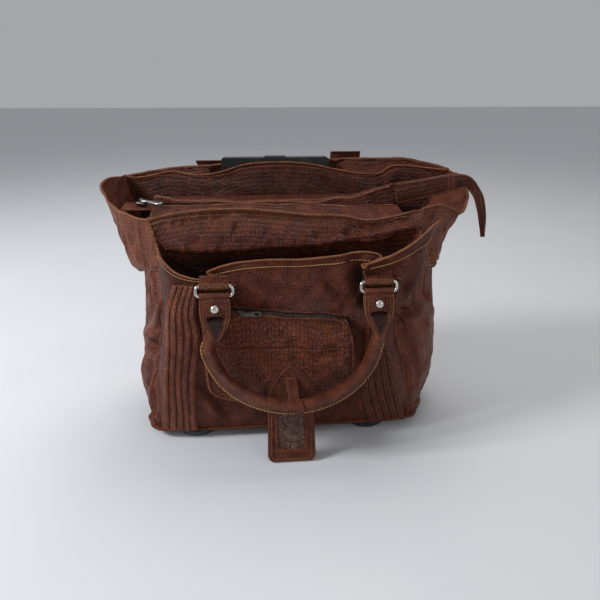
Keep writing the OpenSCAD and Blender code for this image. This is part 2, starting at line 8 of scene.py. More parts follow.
import bmesh
import bpy
import numpy as np
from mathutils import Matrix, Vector


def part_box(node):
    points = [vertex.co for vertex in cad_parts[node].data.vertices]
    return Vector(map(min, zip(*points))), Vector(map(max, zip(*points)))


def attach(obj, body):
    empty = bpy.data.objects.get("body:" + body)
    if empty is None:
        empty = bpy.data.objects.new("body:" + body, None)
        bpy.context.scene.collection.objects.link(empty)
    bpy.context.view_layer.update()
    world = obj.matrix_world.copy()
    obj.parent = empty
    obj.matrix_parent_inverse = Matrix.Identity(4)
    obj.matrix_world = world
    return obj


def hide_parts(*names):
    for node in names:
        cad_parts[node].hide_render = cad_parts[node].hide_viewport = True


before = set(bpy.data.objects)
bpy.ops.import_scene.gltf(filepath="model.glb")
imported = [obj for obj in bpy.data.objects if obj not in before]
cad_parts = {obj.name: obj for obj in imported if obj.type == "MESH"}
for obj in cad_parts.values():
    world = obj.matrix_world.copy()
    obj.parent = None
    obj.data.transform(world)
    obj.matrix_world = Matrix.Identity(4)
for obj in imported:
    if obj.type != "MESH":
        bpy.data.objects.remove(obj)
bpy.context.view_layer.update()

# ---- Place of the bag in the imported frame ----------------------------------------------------

MM = 0.001
BACK_BOARD_Y = 73.4
foot_low, foot_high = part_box("bottom_panel")
OFFSET = np.array([(foot_low[0] + foot_high[0]) / 2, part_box("back_board")[0][1] - BACK_BOARD_Y * MM, 0.0])


def place(points):
    """Bag millimetres to frame metres."""
    return np.asarray(points, float) * MM + OFFSET


def cad_box(node):
    """The low and high corners of a CAD node, in bag millimetres."""
    return [(np.array(corner) - OFFSET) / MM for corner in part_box(node)]


# ---- Curves and surfaces -----------------------------------------------------------------------

def spline(ctrl, n):
    """n points along a smooth curve through the control points, which may themselves be rows."""
    ctrl = np.asarray(ctrl, float)
    k = len(ctrl)
    if k == 1:
        return np.repeat(ctrl, n, axis=0)
    ext = np.concatenate([[2 * ctrl[0] - ctrl[1]], ctrl, [2 * ctrl[-1] - ctrl[-2]]])
    t = np.linspace(0, k - 1, n)
    i = np.minimum(t.astype(int), k - 2)
    f = (t - i).reshape((-1,) + (1,) * (ctrl.ndim - 1))
    a, b, c, d = ext[i], ext[i + 1], ext[i + 2], ext[i + 3]
    return 0.5 * (2 * b + (c - a) * f + (2 * a - 5 * b + 4 * c - d) * f ** 2
                  + (3 * b - a - 3 * c + d) * f ** 3)


def surface(rows, nu, nv):
    """A smooth grid, nv by nu points, through rows of control points."""
    wide = np.stack([spline(row, nu) for row in rows])
    return spline(wide, nv)


def normals(grid):
    du = np.gradient(grid, axis=1)
    dv = np.gradient(grid, axis=0)
    n = np.cross(du, dv)
    return unit(n)


def facing(grid, way, at=None):
    """1 where the grid's normal at a point, its middle if none is given, goes the given way, or else -1."""
    row, col = at or (grid.shape[0] // 2, grid.shape[1] // 2)
    return 1 if normals(grid)[row, col] @ np.array(way, float) > 0 else -1


def run_of(path):
    """Distance along a path at each of its points."""
    return np.concatenate([[0], np.cumsum(np.linalg.norm(np.diff(path, axis=0), axis=1))])


def along_run(s, run, path):
    """The point at distance s along a path."""
    return np.array([np.interp(s, run, path[:, axis]) for axis in range(3)])


def unit(v):
    return v / np.maximum(np.linalg.norm(v, axis=-1, keepdims=True), 1e-9)


def soft_step(x, low, high):
    t = np.clip((x - low) / (high - low), 0, 1)
    return t * t * (3 - 2 * t)


def mix(a, b, t):
    return a + (b - a) * t


def bump_at(x, middle, width):
    """A smooth hill of height 1."""
    return np.exp(-((x - middle) / width) ** 2)


def lengths(grid):
    """Distance along each row and up each column, in millimetres."""
    u = np.concatenate([np.zeros((grid.shape[0], 1)),
                        np.cumsum(np.linalg.norm(np.diff(grid, axis=1), axis=2), 1)], 1)
    v = np.concatenate([np.zeros((1, grid.shape[1])),
                        np.cumsum(np.linalg.norm(np.diff(grid, axis=0), axis=2), 0)], 0)
    return u - u[:, grid.shape[1] // 2][:, None], v


def waves(u, v, size, count, seed, stretch=1.0):
    """Smooth random bumps between about -1 and 1, with features of the given size in millimetres."""
    r = np.random.default_rng(seed)
    total = np.zeros(np.broadcast(u, v).shape)
    for _ in range(count):
        turn = r.uniform(0, 2 * math.pi)
        k = 2 * math.pi / (size * r.uniform(0.7, 1.6))
        total += np.sin(k * (math.cos(turn) * u * stretch + math.sin(turn) * v) + r.uniform(0, 6.28))
    return total / math.sqrt(count)


def crease(u, v, start, end, width, depth):
    """A fold along the line from start to end: a ridge where depth is positive, else a valley."""
    a, b = np.array(start, float), np.array(end, float)
    d = b - a
    t = np.clip(((u - a[0]) * d[0] + (v - a[1]) * d[1]) / (d @ d), 0, 1)
    away = np.hypot(u - a[0] - t * d[0], v - a[1] - t * d[1])
    fade = np.sin(math.pi * np.clip(t * 0.9 + 0.05, 0, 1)) ** 0.5
    return depth * np.exp(-(away / width) ** 2) * fade


# ---- Mesh building -----------------------------------------------------------------------------

class Build:
    """Gathers points, faces, grain coordinates and the painted tones (rubbed edges, painted lightening,
    painted shade) for one piece.
    """

    def __init__(self):
        self.points, self.faces, self.grain, self.wear_light_and_shade, self.slots = [], [], [], [], []

    def grid(self, pts, grain=None, wear_light_and_shade=None, wrap=False, slot=0, flip=False):
        """Adds a grid of points as quads."""
        rows, cols = pts.shape[:2]
        base = sum(len(p) for p in self.points)
        self.points.append(pts.reshape(-1, 3))
        if grain is None:
            grain = np.stack(lengths(pts), axis=2)
        self.grain.append(grain.reshape(-1, 2) * MM)
        self.wear_light_and_shade.append(np.zeros(rows * cols) if wear_light_and_shade is None
                         else np.broadcast_to(wear_light_and_shade, (rows, cols)).reshape(-1))
        index = base + np.arange(rows * cols).reshape(rows, cols)
        if wrap:
            index = np.concatenate([index, index[:, :1]], axis=1)
        corners = [index[:-1, :-1], index[:-1, 1:], index[1:, 1:], index[1:, :-1]]
        quads = np.stack(corners, axis=2).reshape(-1, 4)
        if flip:
            quads = quads[:, ::-1]
        self.faces.extend(quads.tolist())
        self.slots.extend([slot] * len(quads))
        return index

    def sheet(self, pts, thick, wear_light_and_shade=None, slot=0, inner_slot=None, out=1):
        """A sheet of leather with rounded edges: its good side, its inner side and a rim joining them."""
        n = normals(pts) * out
        grain = np.stack(lengths(pts), axis=2)
        w = np.zeros(pts.shape[:2]) if wear_light_and_shade is None else wear_light_and_shade
        edge = np.zeros(pts.shape[:2])
        self.grid(pts, grain, w, slot=slot, flip=out < 0)
        self.grid(pts - n * thick, grain, w, slot=slot if inner_slot is None else inner_slot, flip=out > 0)
        for line, side in ((np.s_[0, :], 1), (np.s_[-1, :], -1), (np.s_[:, 0], -1), (np.s_[:, -1], 1)):
            p, m = pts[line], n[line]
            ring = []
            for step in range(5):
                a = math.pi * step / 4
                ring.append(p - m * thick * (1 - math.cos(a)) / 2
                            + self.outward(pts, line) * thick * 0.35 * math.sin(a))
            ring = np.stack(ring)
            g = np.stack([grain[line]] * 5)
            self.grid(ring, g, 0.4, slot=slot, flip=(side * out) > 0)

    @staticmethod
    def outward(pts, line):
        """Unit steps off the sheet's edge, along the sheet."""
        row, col = line
        if row == 0 and isinstance(col, slice):
            d = pts[0] - pts[1]
        elif row == -1 and isinstance(col, slice):
            d = pts[-1] - pts[-2]
        elif col == 0:
            d = pts[:, 0] - pts[:, 1]
        else:
            d = pts[:, -1] - pts[:, -2]
        return unit(d)

    def cap(self, index, slot=0, flip=False):
        """Closes the first and last rings of a wrapped grid."""
        way = -1 if flip else 1
        self.faces.append(index[0, :-1][::way].tolist())
        self.faces.append(index[-1, :-1][::-way].tolist())
        self.slots.extend([slot, slot])

    def tube(self, path, radius, sides=10, wear_light_and_shade=0.0, slot=0, up=(0, 0, 1), closed=False):
        """A tube along a path. radius may be one number or one for each point."""
        path = np.asarray(path, float)
        n = len(path)
        if closed:
            t = np.roll(path, -1, 0) - np.roll(path, 1, 0)
        else:
            t = np.gradient(path, axis=0)
        t = unit(t)
        side = np.cross(t, np.broadcast_to(np.array(up, float), t.shape))
        weak = np.linalg.norm(side, axis=1) < 0.2
        side[weak] = np.cross(t[weak], (0.0, 1.0, 0.0))
        side = unit(side)
        over = np.cross(side, t)
        a = np.linspace(0, 2 * math.pi, sides, endpoint=False)
        r = np.broadcast_to(np.asarray(radius, float).reshape(-1, 1, 1), (n, 1, 1))
        cos, sin = np.cos(a)[None, :, None], np.sin(a)[None, :, None]
        ring = path[:, None] + r * (cos * side[:, None] + sin * over[:, None])
        grain = np.stack(np.broadcast_arrays(run_of(path)[:, None], (a * np.mean(radius))[None, :]), axis=2)
        if closed:
            ring, grain = np.concatenate([ring, ring[:1]]), np.concatenate([grain, grain[-1:] + 1])
        index = self.grid(ring, grain, np.asarray(wear_light_and_shade, float).reshape(-1, 1), wrap=True, slot=slot)
        if not closed:
            self.cap(index, slot)

    def turned(self, profile, centre, axis, sides):
        """A solid turned round an axis, from (radius, height) points."""
        a = np.linspace(0, 2 * math.pi, sides, endpoint=False)
        prof = np.asarray(profile, float)
        x = prof[:, :1] * np.cos(a)
        y = prof[:, :1] * np.sin(a)
        z = np.broadcast_to(prof[:, 1:], x.shape)
        order = {"z": (x, y, z), "x": (z, x, y), "y": (y, z, x)}[axis]
        self.grid(np.stack(order, axis=2) + np.asarray(centre, float), wrap=True)

    def block(self, low, high, bevel, slot=0, steps=3):
        """A box with rounded edges: a sphere's grid pulled out to the corners."""
        low, high = np.asarray(low, float), np.asarray(high, float)
        mid, half = (low + high) / 2, (high - low) / 2
        bevel = min(bevel, *(half * 0.98))
        core = half - bevel
        lat = np.concatenate([np.linspace(-90, 0, steps + 1), np.linspace(0, 90, steps + 1)])
        lon = np.concatenate([np.linspace(q, q + 90, steps + 1) for q in (0, 90, 180, 270)])
        signs = np.repeat([[1, 1], [-1, 1], [-1, -1], [1, -1]], steps + 1, axis=0)
        top = np.repeat([-1, 1], steps + 1)
        la, lo = np.radians(lat)[:, None], np.radians(lon)[None, :]
        pts = np.stack([np.cos(la) * np.cos(lo) * bevel + signs[:, 0][None] * core[0],
                        np.cos(la) * np.sin(lo) * bevel + signs[:, 1][None] * core[1],
                        np.broadcast_to(np.sin(la) * bevel + top[:, None] * core[2], (len(lat), len(lon)))],
                       axis=2)
        self.cap(self.grid(pts + mid, wrap=True, slot=slot), slot, flip=True)

    def make(self, name, body, mats, replaces=()):
        """Turns what was gathered into one object that rides on a body."""
        pts = place(np.concatenate(self.points))
        mesh = bpy.data.meshes.new(name)
        mesh.from_pydata(pts.tolist(), [], self.faces)
        mesh.update()
        grain = np.concatenate(self.grain)
        layer = mesh.uv_layers.new(name="grain")
        loops = np.zeros(len(mesh.loops), int)
        mesh.loops.foreach_get("vertex_index", loops)
        layer.data.foreach_set("uv", grain[loops].astype(np.float32).ravel())
        wear_light_and_shade = mesh.attributes.new("wear_light_and_shade", "FLOAT", "POINT")
        wear_light_and_shade.data.foreach_set("value", np.concatenate(self.wear_light_and_shade).astype(np.float32))
        for m in mats:
            mesh.materials.append(m)
        mesh.polygons.foreach_set("material_index", self.slots)
        mesh.polygons.foreach_set("use_smooth", [True] * len(mesh.polygons))
        obj = bpy.data.objects.new(name, welded(mesh))
        bpy.context.scene.collection.objects.link(obj)
        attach(obj, body)
        if replaces:
            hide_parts(*replaces)
        return obj


def welded(mesh):
    """Joins points that lie on each other and makes all normals point outwards."""
    bm = bmesh.new()
    bm.from_mesh(mesh)
    bmesh.ops.remove_doubles(bm, verts=bm.verts, dist=0.00002)
    bmesh.ops.recalc_face_normals(bm, faces=bm.faces)
    bm.to_mesh(mesh)
    bm.free()
    return mesh


SLACK_FRAMES, SLACK_BEND = 16, 0.3


def slacken(grid, spare, reach, seed, fall=0.25):
    """Cloth: the sheet, held at its edges, gets spare leather and buckles. No point goes past reach."""
    n = normals(grid)
    u, v = lengths(grid)
    grid = grid + n * (waves(u, v, 38, 8, seed) * 0.9 + waves(u, v, 16, 8, seed + 1) * 0.25)[..., None]
    rows, cols = grid.shape[:2]
    index = np.arange(rows * cols).reshape(rows, cols)
    quads = np.stack([index[:-1, :-1], index[:-1, 1:], index[1:, 1:], index[1:, :-1]], axis=2).reshape(-1, 4)
    mesh = bpy.data.meshes.new("slack")
    mesh.from_pydata((grid.reshape(-1, 3) * MM).tolist(), [], quads.tolist())
    obj = bpy.data.objects.new("slack", mesh)
    bpy.context.scene.collection.objects.link(obj)
    held = obj.vertex_groups.new(name="held")
    edge = np.zeros((rows, cols), bool)
    edge[[0, -1], :] = True
    edge[:, [0, -1]] = True
    held.add(index[edge].tolist(), 1.0, "REPLACE")
    cloth = obj.modifiers.new("Slack", "CLOTH")
    cloth.settings.quality = 5
    cloth.settings.mass = 0.3
    cloth.settings.tension_stiffness = cloth.settings.compression_stiffness = 20
    cloth.settings.shear_stiffness = 8
    cloth.settings.bending_stiffness = SLACK_BEND
    cloth.settings.shrink_min = -spare
    cloth.settings.vertex_group_mass = "held"
    cloth.settings.effector_weights.gravity = fall
    cloth.point_cache.frame_end = SLACK_FRAMES
    for frame_number in range(1, SLACK_FRAMES + 1):
        bpy.context.scene.frame_set(frame_number)
    seen = obj.evaluated_get(bpy.context.evaluated_depsgraph_get())
    flat = np.zeros(rows * cols * 3, np.float32)
    seen.data.vertices.foreach_get("co", flat)
    moved = flat.reshape(grid.shape).astype(float) / MM - grid
    size = np.linalg.norm(moved, axis=2, keepdims=True)
    bpy.data.objects.remove(obj)
    bpy.data.meshes.remove(mesh)
    bpy.context.scene.frame_set(1)
    return grid + moved * np.minimum(1, reach / np.maximum(size, 1e-6))


def stitches(build, path, every=4.4, long=2.9, thick=0.42, out=(0, -1, 0), slot=0):
    """Thread stitches along a path, each a small capsule that lies on the leather."""
    path = np.asarray(path, float)
    run = run_of(path)
    count = int(run[-1] / every)
    starts = np.arange(count) * every + (run[-1] - count * every + every - long) / 2
    out = np.asarray(out, float)
    for s in starts:
        a, m, b = (along_run(s + d, run, path) for d in (0, long / 2, long))
        pts = np.stack([a - out * 0.35, a + out * 0.12, m + out * 0.3, b + out * 0.12, b - out * 0.35])
        build.tube(pts, [thick * 0.55, thick, thick, thick, thick * 0.55], sides=6, slot=slot)


# ---- Materials ---------------------------------------------------------------------------------

def srgb(r, g, b):
    """A colour from 0 to 255 a channel to Blender's linear values."""
    return tuple((c / 255 / 12.92 if c <= 10 else ((c / 255 + 0.055) / 1.055) ** 2.4)
                 for c in (r, g, b)) + (1.0,)


class Paint:
    """A short way to write a material's nodes."""

    def __init__(self, name):
        self.mat = bpy.data.materials.new(name)
        self.mat.use_nodes = True
        self.tree = self.mat.node_tree
        self.shader = self.tree.nodes["Principled BSDF"]

    def node(self, kind, inputs=None, **settings):
        n = self.tree.nodes.new(kind)
        for key, value in settings.items():
            setattr(n, key, value)
        for key, value in (inputs or {}).items():
            self.put(n.inputs[key], value)
        return n

    def put(self, socket, value):
        if isinstance(value, bpy.types.NodeSocket):
            self.tree.links.new(value, socket)
        else:
            socket.default_value = value

    def set(self, **values):
        for key, value in values.items():
            self.put(self.shader.inputs[key.replace("_", " ")], value)

    def math(self, kind, a, b=0.5, c=0.5):
        n = self.node("ShaderNodeMath", operation=kind)
        for socket, value in zip(n.inputs, (a, b, c)):
            self.put(socket, value)
        return n.outputs[0]

    def range(self, value, low, high, to_low=0.0, to_high=1.0):
        n = self.node("ShaderNodeMapRange",
                      {"Value": value, "From Min": low, "From Max": high, "To Min": to_low,
                       "To Max": to_high}, interpolation_type="SMOOTHSTEP")
        return n.outputs[0]

    def blend(self, amount, a, b):
        n = self.node("ShaderNodeMix", data_type="RGBA")
        self.put(n.inputs[0], amount)
        self.put(n.inputs[6], a)
        self.put(n.inputs[7], b)
        return n.outputs[2]

    def where(self, scale=(1, 1, 1)):
        """Grain coordinates in metres, scaled."""
        uv = self.node("ShaderNodeUVMap", uv_map="grain").outputs[0]
        return self.node("ShaderNodeMapping", {"Vector": uv, "Scale": scale}).outputs[0]

    def place(self, scale=(1, 1, 1)):
        """Object coordinates in metres, scaled."""
        here = self.node("ShaderNodeTexCoord").outputs["Object"]
        return self.node("ShaderNodeMapping", {"Vector": here, "Scale": scale}).outputs[0]

    def noise(self, vector, scale, detail=4, rough=0.55, distort=0.0):
        return self.node("ShaderNodeTexNoise",
                         {"Vector": vector, "Scale": scale, "Detail": detail, "Roughness": rough,
                          "Distortion": distort}).outputs["Fac"]

    def cells(self, vector, scale=1.0, random=1.0, feature="DISTANCE_TO_EDGE"):
        return self.node("ShaderNodeTexVoronoi", {"Vector": vector, "Scale": scale, "Randomness": random},
                         feature=feature).outputs[0]

    def warped(self, vector, amount, scale):
        """The same coordinates pushed about by noise."""
        push = self.node("ShaderNodeTexNoise",
                         {"Vector": vector, "Scale": scale, "Detail": 2}).outputs["Color"]
        off = self.node("ShaderNodeVectorMath", {0: push, 1: (0.5, 0.5, 0.5)},
                        operation="SUBTRACT").outputs[0]
        far = self.node("ShaderNodeVectorMath", {0: off, "Scale": amount}, operation="SCALE").outputs[0]
        return self.node("ShaderNodeVectorMath", {0: vector, 1: far}, operation="ADD").outputs[0]

    def clamp(self, value):
        return self.math("MINIMUM", self.math("MAXIMUM", value, 0.0), 1.0)

    def bump(self, height, distance, strength=1.0):
        return self.node("ShaderNodeBump",
                         {"Height": height, "Distance": distance, "Strength": strength}).outputs[0]

    def wear_light_and_shade(self):
        return self.node("ShaderNodeAttribute", attribute_name="wear_light_and_shade").outputs["Fac"]


# tan for rubbed edges and for painted lightening; near black-brown for painted shade
WORN_TAN_AND_PAINTED_LIGHT, PAINTED_SHADE_DARK = srgb(152, 96, 64), srgb(20, 6, 2)


def leather(name, deep, mid, high, scale_w=0.0032, scale_h=0.0060, emboss=1.0, rough=0.38):
    """Embossed faux leather: rows of scales, fine wrinkles, mottled tone, rubbed tan edges, painted
    lightening, and painted shade in folds and openings.
    """
    p = Paint(name)
    far = p.noise(p.where((1, 1, 1)), 16, 3)
    mottle = p.noise(p.where((1, 0.6, 1)), 60, 5, 0.6)
    rows = p.warped(p.where((1 / scale_w, 1 / scale_h, 1)), 0.8, 0.3)
    scales = p.cells(rows, 1.0, 0.3)
    groove = p.range(scales, 0.0, 0.2)
    small = p.cells(p.warped(p.where((1 / 0.0014, 1 / 0.0021, 1)), 0.8, 0.8), 1.0, 0.9)
    wrinkle = p.noise(p.warped(p.where((680, 150, 1)), 1.4, 0.35), 1.0, 5, 0.65)
    cross = p.noise(p.where((80, 700, 1)), 1.0, 3, 0.6)
    shown = p.range(far, 0.40, 0.62)
    depth = p.math("MULTIPLY", p.math("SUBTRACT", 1.0, groove), p.math("MULTIPLY_ADD", shown, 0.5, 0.45))
    tone = p.blend(p.range(mottle, 0.3, 0.75), mid, high)
    tone = p.blend(p.math("MULTIPLY", depth, 0.52 * emboss), tone, deep)
    tone = p.blend(p.math("MULTIPLY", p.range(wrinkle, 0.56, 0.38), 0.6), tone, deep)
    tone = p.blend(p.math("MULTIPLY", p.range(cross, 0.6, 0.75), 0.18), tone, high)
    # the per-point attribute paints rubbed tan edges and painted lightening where positive, and painted shade
    # where negative
    wear_light_and_shade = p.wear_light_and_shade()
    rubbed_and_lightened = p.math("MULTIPLY", wear_light_and_shade, p.range(p.noise(p.where(), 420, 4, 0.7), 0.3, 0.6, 0.35, 1.0))
    tone = p.blend(p.clamp(rubbed_and_lightened), tone, WORN_TAN_AND_PAINTED_LIGHT)
    painted_shade = p.clamp(p.math("MULTIPLY", wear_light_and_shade, -1.0))
    tone = p.blend(p.math("MULTIPLY", painted_shade, 0.85), tone, PAINTED_SHADE_DARK)
    gloss = p.math("MULTIPLY_ADD", mottle, 0.2, rough - 0.17)
    gloss = p.math("MULTIPLY_ADD", p.math("MAXIMUM", depth, painted_shade), 0.3, gloss)
    height = p.math("MULTIPLY_ADD", groove, 0.8 * emboss, p.math("MULTIPLY", wrinkle, 1.0))
    height = p.math("MULTIPLY_ADD", p.range(small, 0.0, 0.25), 0.2, height)
    height = p.math("MULTIPLY_ADD", cross, 0.25, height)
    p.set(Base_Color=tone, Roughness=gloss, Normal=p.bump(height, 0.0016, 1.0))
    p.shader.inputs["Specular IOR Level"].default_value = 0.27
    return p.mat


def metal(name, colour, rough=0.2, brushed=0.0):
    p = Paint(name)
    scuff = p.noise(p.place(), 900, 6, 0.7)
    smear = p.noise(p.place(), 60, 3)
    tone = p.blend(p.range(smear, 0.35, 0.7), colour, tuple(c * 0.72 for c in colour[:3]) + (1.0,))
    gloss = p.math("MULTIPLY_ADD", scuff, 0.22, rough - 0.06)
    lines = p.noise(p.place((1, 1, 0.02)), 2600, 2) if brushed else scuff
    p.set(Base_Color=tone, Roughness=gloss, Metallic=1.0, Normal=p.bump(lines, 0.00006, 0.35 + brushed))
    return p.mat


def plastic(name, colour, rough=0.45, grain=0.5, scale=1500):
    p = Paint(name)
    pebble = p.cells(p.place(), scale, 1.0, "F1")
    dust = p.noise(p.place(), 45, 5, 0.65)
    light = tuple(min(1.0, c * 1.9 + 0.012) for c in colour[:3]) + (1.0,)
    p.set(Base_Color=p.blend(p.range(dust, 0.45, 0.8), colour, light),
          Roughness=p.math("MULTIPLY_ADD", dust, 0.25, rough - 0.1),
          Normal=p.bump(pebble, 0.00012, grain))
    return p.mat


def woven(name, colour, thread, pitch=0.0011):
    """Woven tape or lining: two sets of threads crossing."""
    p = Paint(name)
    k = math.pi / pitch
    split = p.node("ShaderNodeSeparateXYZ", {0: p.where()})
    warp = p.math("ABSOLUTE", p.math("SINE", p.math("MULTIPLY", split.outputs[0], k)))
    weft = p.math("ABSOLUTE", p.math("SINE", p.math("MULTIPLY", split.outputs[1], k)))
    height = p.math("MAXIMUM", warp, weft)
    fluff = p.noise(p.where(), 900, 4)
    p.set(Base_Color=p.blend(p.math("MULTIPLY", height, p.math("MULTIPLY_ADD", fluff, 0.5, 0.5)), colour,
                             thread),
          Roughness=p.math("MULTIPLY_ADD", fluff, 0.15, 0.75), Normal=p.bump(height, 0.00022, 0.8))
    p.shader.inputs["Sheen Weight"].default_value = 0.15
    return p.mat


def thread(name, colour, light):
    p = Paint(name)
    twist = p.noise(p.where((1, 0.3, 1)), 2600, 3)
    p.set(Base_Color=p.blend(p.range(twist, 0.35, 0.65), colour, light),
          Roughness=p.math("MULTIPLY_ADD", twist, 0.2, 0.5),
          Normal=p.bump(twist, 0.0001, 0.6))
    return p.mat


CROC = leather("croc_leather", srgb(28, 6, 2), srgb(86, 34, 18), srgb(126, 62, 38))
# a lighter copy of the croc leather, painted light for the light falling on the bag's sides; used on the
# wings, the gussets and the left band
CROC_PAINTED_LIT = leather("croc_leather_painted_lit", srgb(34, 9, 5), srgb(112, 53, 35), srgb(152, 84, 58), 0.0030, 0.0052,
                    0.8)
CROC_PLAIN = leather("plain_leather", srgb(30, 7, 3), srgb(86, 34, 19), srgb(122, 58, 36), 0.0034, 0.0050,
                     0.5, 0.36)
CROC_POCKET = leather("pocket_leather", srgb(30, 7, 2), srgb(96, 40, 22), srgb(136, 70, 43), 0.0052, 0.0076,
                      1.0, 0.34)
HANDLE = leather("handle_leather", srgb(30, 7, 3), srgb(92, 38, 22), srgb(136, 70, 44), 0.0024, 0.0018, 0.6,
                 0.32)
TAPE = woven("zip_tape", srgb(34, 16, 12), srgb(78, 42, 32), 0.0012)
THREAD = thread("brown_thread", srgb(96, 54, 34), srgb(146, 94, 62))
GOLD = thread("gold_thread", srgb(170, 118, 66), srgb(222, 178, 116))
NICKEL = metal("nickel_plate", srgb(214, 212, 206), 0.22)
ZINC = metal("zinc_steel", srgb(150, 152, 156), 0.34)
GUNMETAL = metal("slider_metal", srgb(96, 92, 88), 0.3)
TUBE = metal("trolley_tube", srgb(176, 178, 182), 0.28, 0.4)
BLACK = plastic("black_plastic", srgb(20, 21, 23), 0.42)
BUTTON = plastic("button_plastic", srgb(34, 35, 39), 0.34, 0.25)
HUB = plastic("hub_plastic", srgb(48, 50, 54), 0.38, 0.3)
RUBBER = plastic("wheel_rubber", srgb(24, 24, 25), 0.68, 0.7, 700)
BOARD = plastic("stiffener_board", srgb(36, 35, 34), 0.72, 0.6, 900)
CARD = plastic("card_dark", srgb(52, 26, 20), 0.45, 0.4, 1200)


def film(name):
    p = Paint(name)
    ripple = p.noise(p.place(), 90, 2, 0.5, 0.8)
    p.set(Base_Color=(0.16, 0.09, 0.07, 1), Roughness=p.math("MULTIPLY_ADD", ripple, 0.12, 0.04),
          Normal=p.bump(ripple, 0.016, 1.0))
    p.shader.inputs["Alpha"].default_value = 0.4
    p.shader.inputs["Specular IOR Level"].default_value = 0.5
    return p.mat


FILM = film("clear_film")


# ---- Bag body: the main shapes, in bag millimetres ------------------------------------------------

THICK = 2.0
SIDE_GRID, WING_ROWS, FRONT_COLS, BACK_COLS = 96, 60, 150, 130
SEAM_FRONT_L = [(-174, -90, 14), (-172, -84, 60), (-164, -78, 115), (-155, -74, 165), (-150, -73, 205),
                (-148, -71, 240), (-149, -70, 262), (-151, -67, 284), (-156, -58, 303)]
SEAM_FRONT_R = [(178, -90, 14), (176, -84, 60), (163, -80, 115), (150, -77, 160), (150, -76, 190),
                (160, -76, 222), (168, -74, 250), (176, -66, 275), (184, -42, 306)]


def seam(points, z):
    """The point at height z on a corner seam."""
    pts = np.array(points, float)
    return [np.interp(z, pts[:, 2], pts[:, 0]), np.interp(z, pts[:, 2], pts[:, 1]), z]


def side_rows(front, rows):
    """Rows of a side panel: each starts on its front corner seam and ends on the back corner."""
    return [[seam(front, z)] + row for z, row in rows]


LEFT_WING = [
    [(-156, -58, 303), (-171, -48, 302), (-188, -33, 304), (-206, -13, 306), (-223, 8, 313),
     (-236, 32, 326), (-234, 56, 332), (-216, 76, 333)],
    [(-152, -66, 286), (-168, -55, 283), (-187, -37, 283), (-204, -14, 284), (-216, 10, 289),
     (-225, 33, 300), (-221, 57, 307), (-206, 79, 310)],
    [(-149, -70, 264), (-163, -55, 254), (-182, -34, 250), (-199, -11, 247), (-209, 11, 249),
     (-214, 33, 257), (-207, 58, 262), (-194, 82, 266)],
    [(-147, -71, 248), (-159, -54, 236), (-175, -31, 228), (-190, -8, 219), (-200, 11, 217),
     (-203, 33, 221), (-197, 58, 226), (-184, 84, 228)]]

LEFT_GUSSET = side_rows(SEAM_FRONT_L, [
    (246, [(-158, -58, 240), (-172, -36, 236), (-182, -12, 232), (-188, 12, 230), (-190, 34, 231),
           (-186, 60, 232), (-178, 86, 232)]),
    (205, [(-164, -60, 202), (-181, -38, 199), (-189, -13, 197), (-192, 12, 197), (-191, 36, 199),
           (-185, 62, 200), (-176, 88, 200)]),
    (165, [(-170, -62, 163), (-187, -40, 161), (-197, -13, 160), (-199, 12, 161), (-196, 38, 163),
           (-188, 64, 165), (-176, 89, 165)]),
    (118, [(-181, -67, 116), (-197, -43, 114), (-205, -14, 113), (-206, 13, 114), (-202, 40, 115),
           (-192, 67, 115), (-177, 90, 115)]),
    (68, [(-188, -73, 67), (-202, -49, 66), (-207, -20, 66), (-206, 12, 66), (-201, 40, 66), (-191, 68, 66),
          (-177, 91, 66)]),
    (38, [(-188, -78, 36), (-199, -52, 35), (-203, -20, 34), (-202, 12, 34), (-198, 40, 34), (-189, 68, 34),
          (-176, 91, 36)]),
    (14, [(-185, -80, 14), (-190, -54, 14), (-191, -20, 14), (-191, 12, 14), (-189, 42, 14), (-184, 68, 14),
          (-176, 90, 14)])])

RIGHT_WING = [
    [(184, -42, 306), (200, -32, 307), (216, -22, 306), (236, -9, 298), (256, 2, 290), (270, 20, 306),
     (270, 44, 328), (258, 68, 336)],
    [(180, -60, 285), (194, -50, 283), (208, -38, 279), (222, -22, 273), (236, -6, 270), (248, 16, 280),
     (250, 44, 299), (240, 72, 308)],
    [(172, -72, 262), (186, -60, 259), (201, -45, 255), (216, -25, 251), (229, -4, 249), (236, 18, 252),
     (234, 44, 260), (222, 76, 268)],
    [(160, -76, 226), (178, -62, 228), (198, -42, 224), (216, -20, 218), (229, 0, 213), (233, 22, 213),
     (226, 48, 218), (205, 80, 226)]]

RIGHT_GUSSET = side_rows(SEAM_FRONT_R, [
    (232, [(176, -60, 230), (193, -40, 226), (210, -18, 222), (222, 2, 220), (226, 24, 220), (217, 52, 222),
           (200, 84, 226)]),
    (196, [(170, -66, 194), (190, -48, 190), (212, -24, 188), (226, 4, 186), (226, 26, 186), (214, 54, 192),
           (196, 86, 196)]),
    (168, [(180, -72, 166), (208, -52, 166), (226, -24, 166), (231, 4, 167), (227, 30, 168), (214, 56, 168),
           (194, 88, 168)]),
    (122, [(192, -78, 122), (216, -56, 123), (234, -24, 124), (237, 4, 124), (232, 30, 124), (216, 58, 122),
           (193, 89, 120)]),
    (72, [(197, -82, 72), (219, -58, 73), (235, -24, 74), (238, 4, 74), (232, 32, 73), (215, 60, 72),
          (190, 90, 70)]),
    (40, [(196, -84, 40), (213, -58, 38), (224, -26, 37), (227, 4, 37), (223, 32, 37), (210, 60, 37),
          (188, 91, 38)]),
    (14, [(190, -84, 14), (201, -58, 14), (209, -26, 14), (210, 4, 14), (207, 32, 14), (199, 60, 14),
          (184, 90, 14)])])

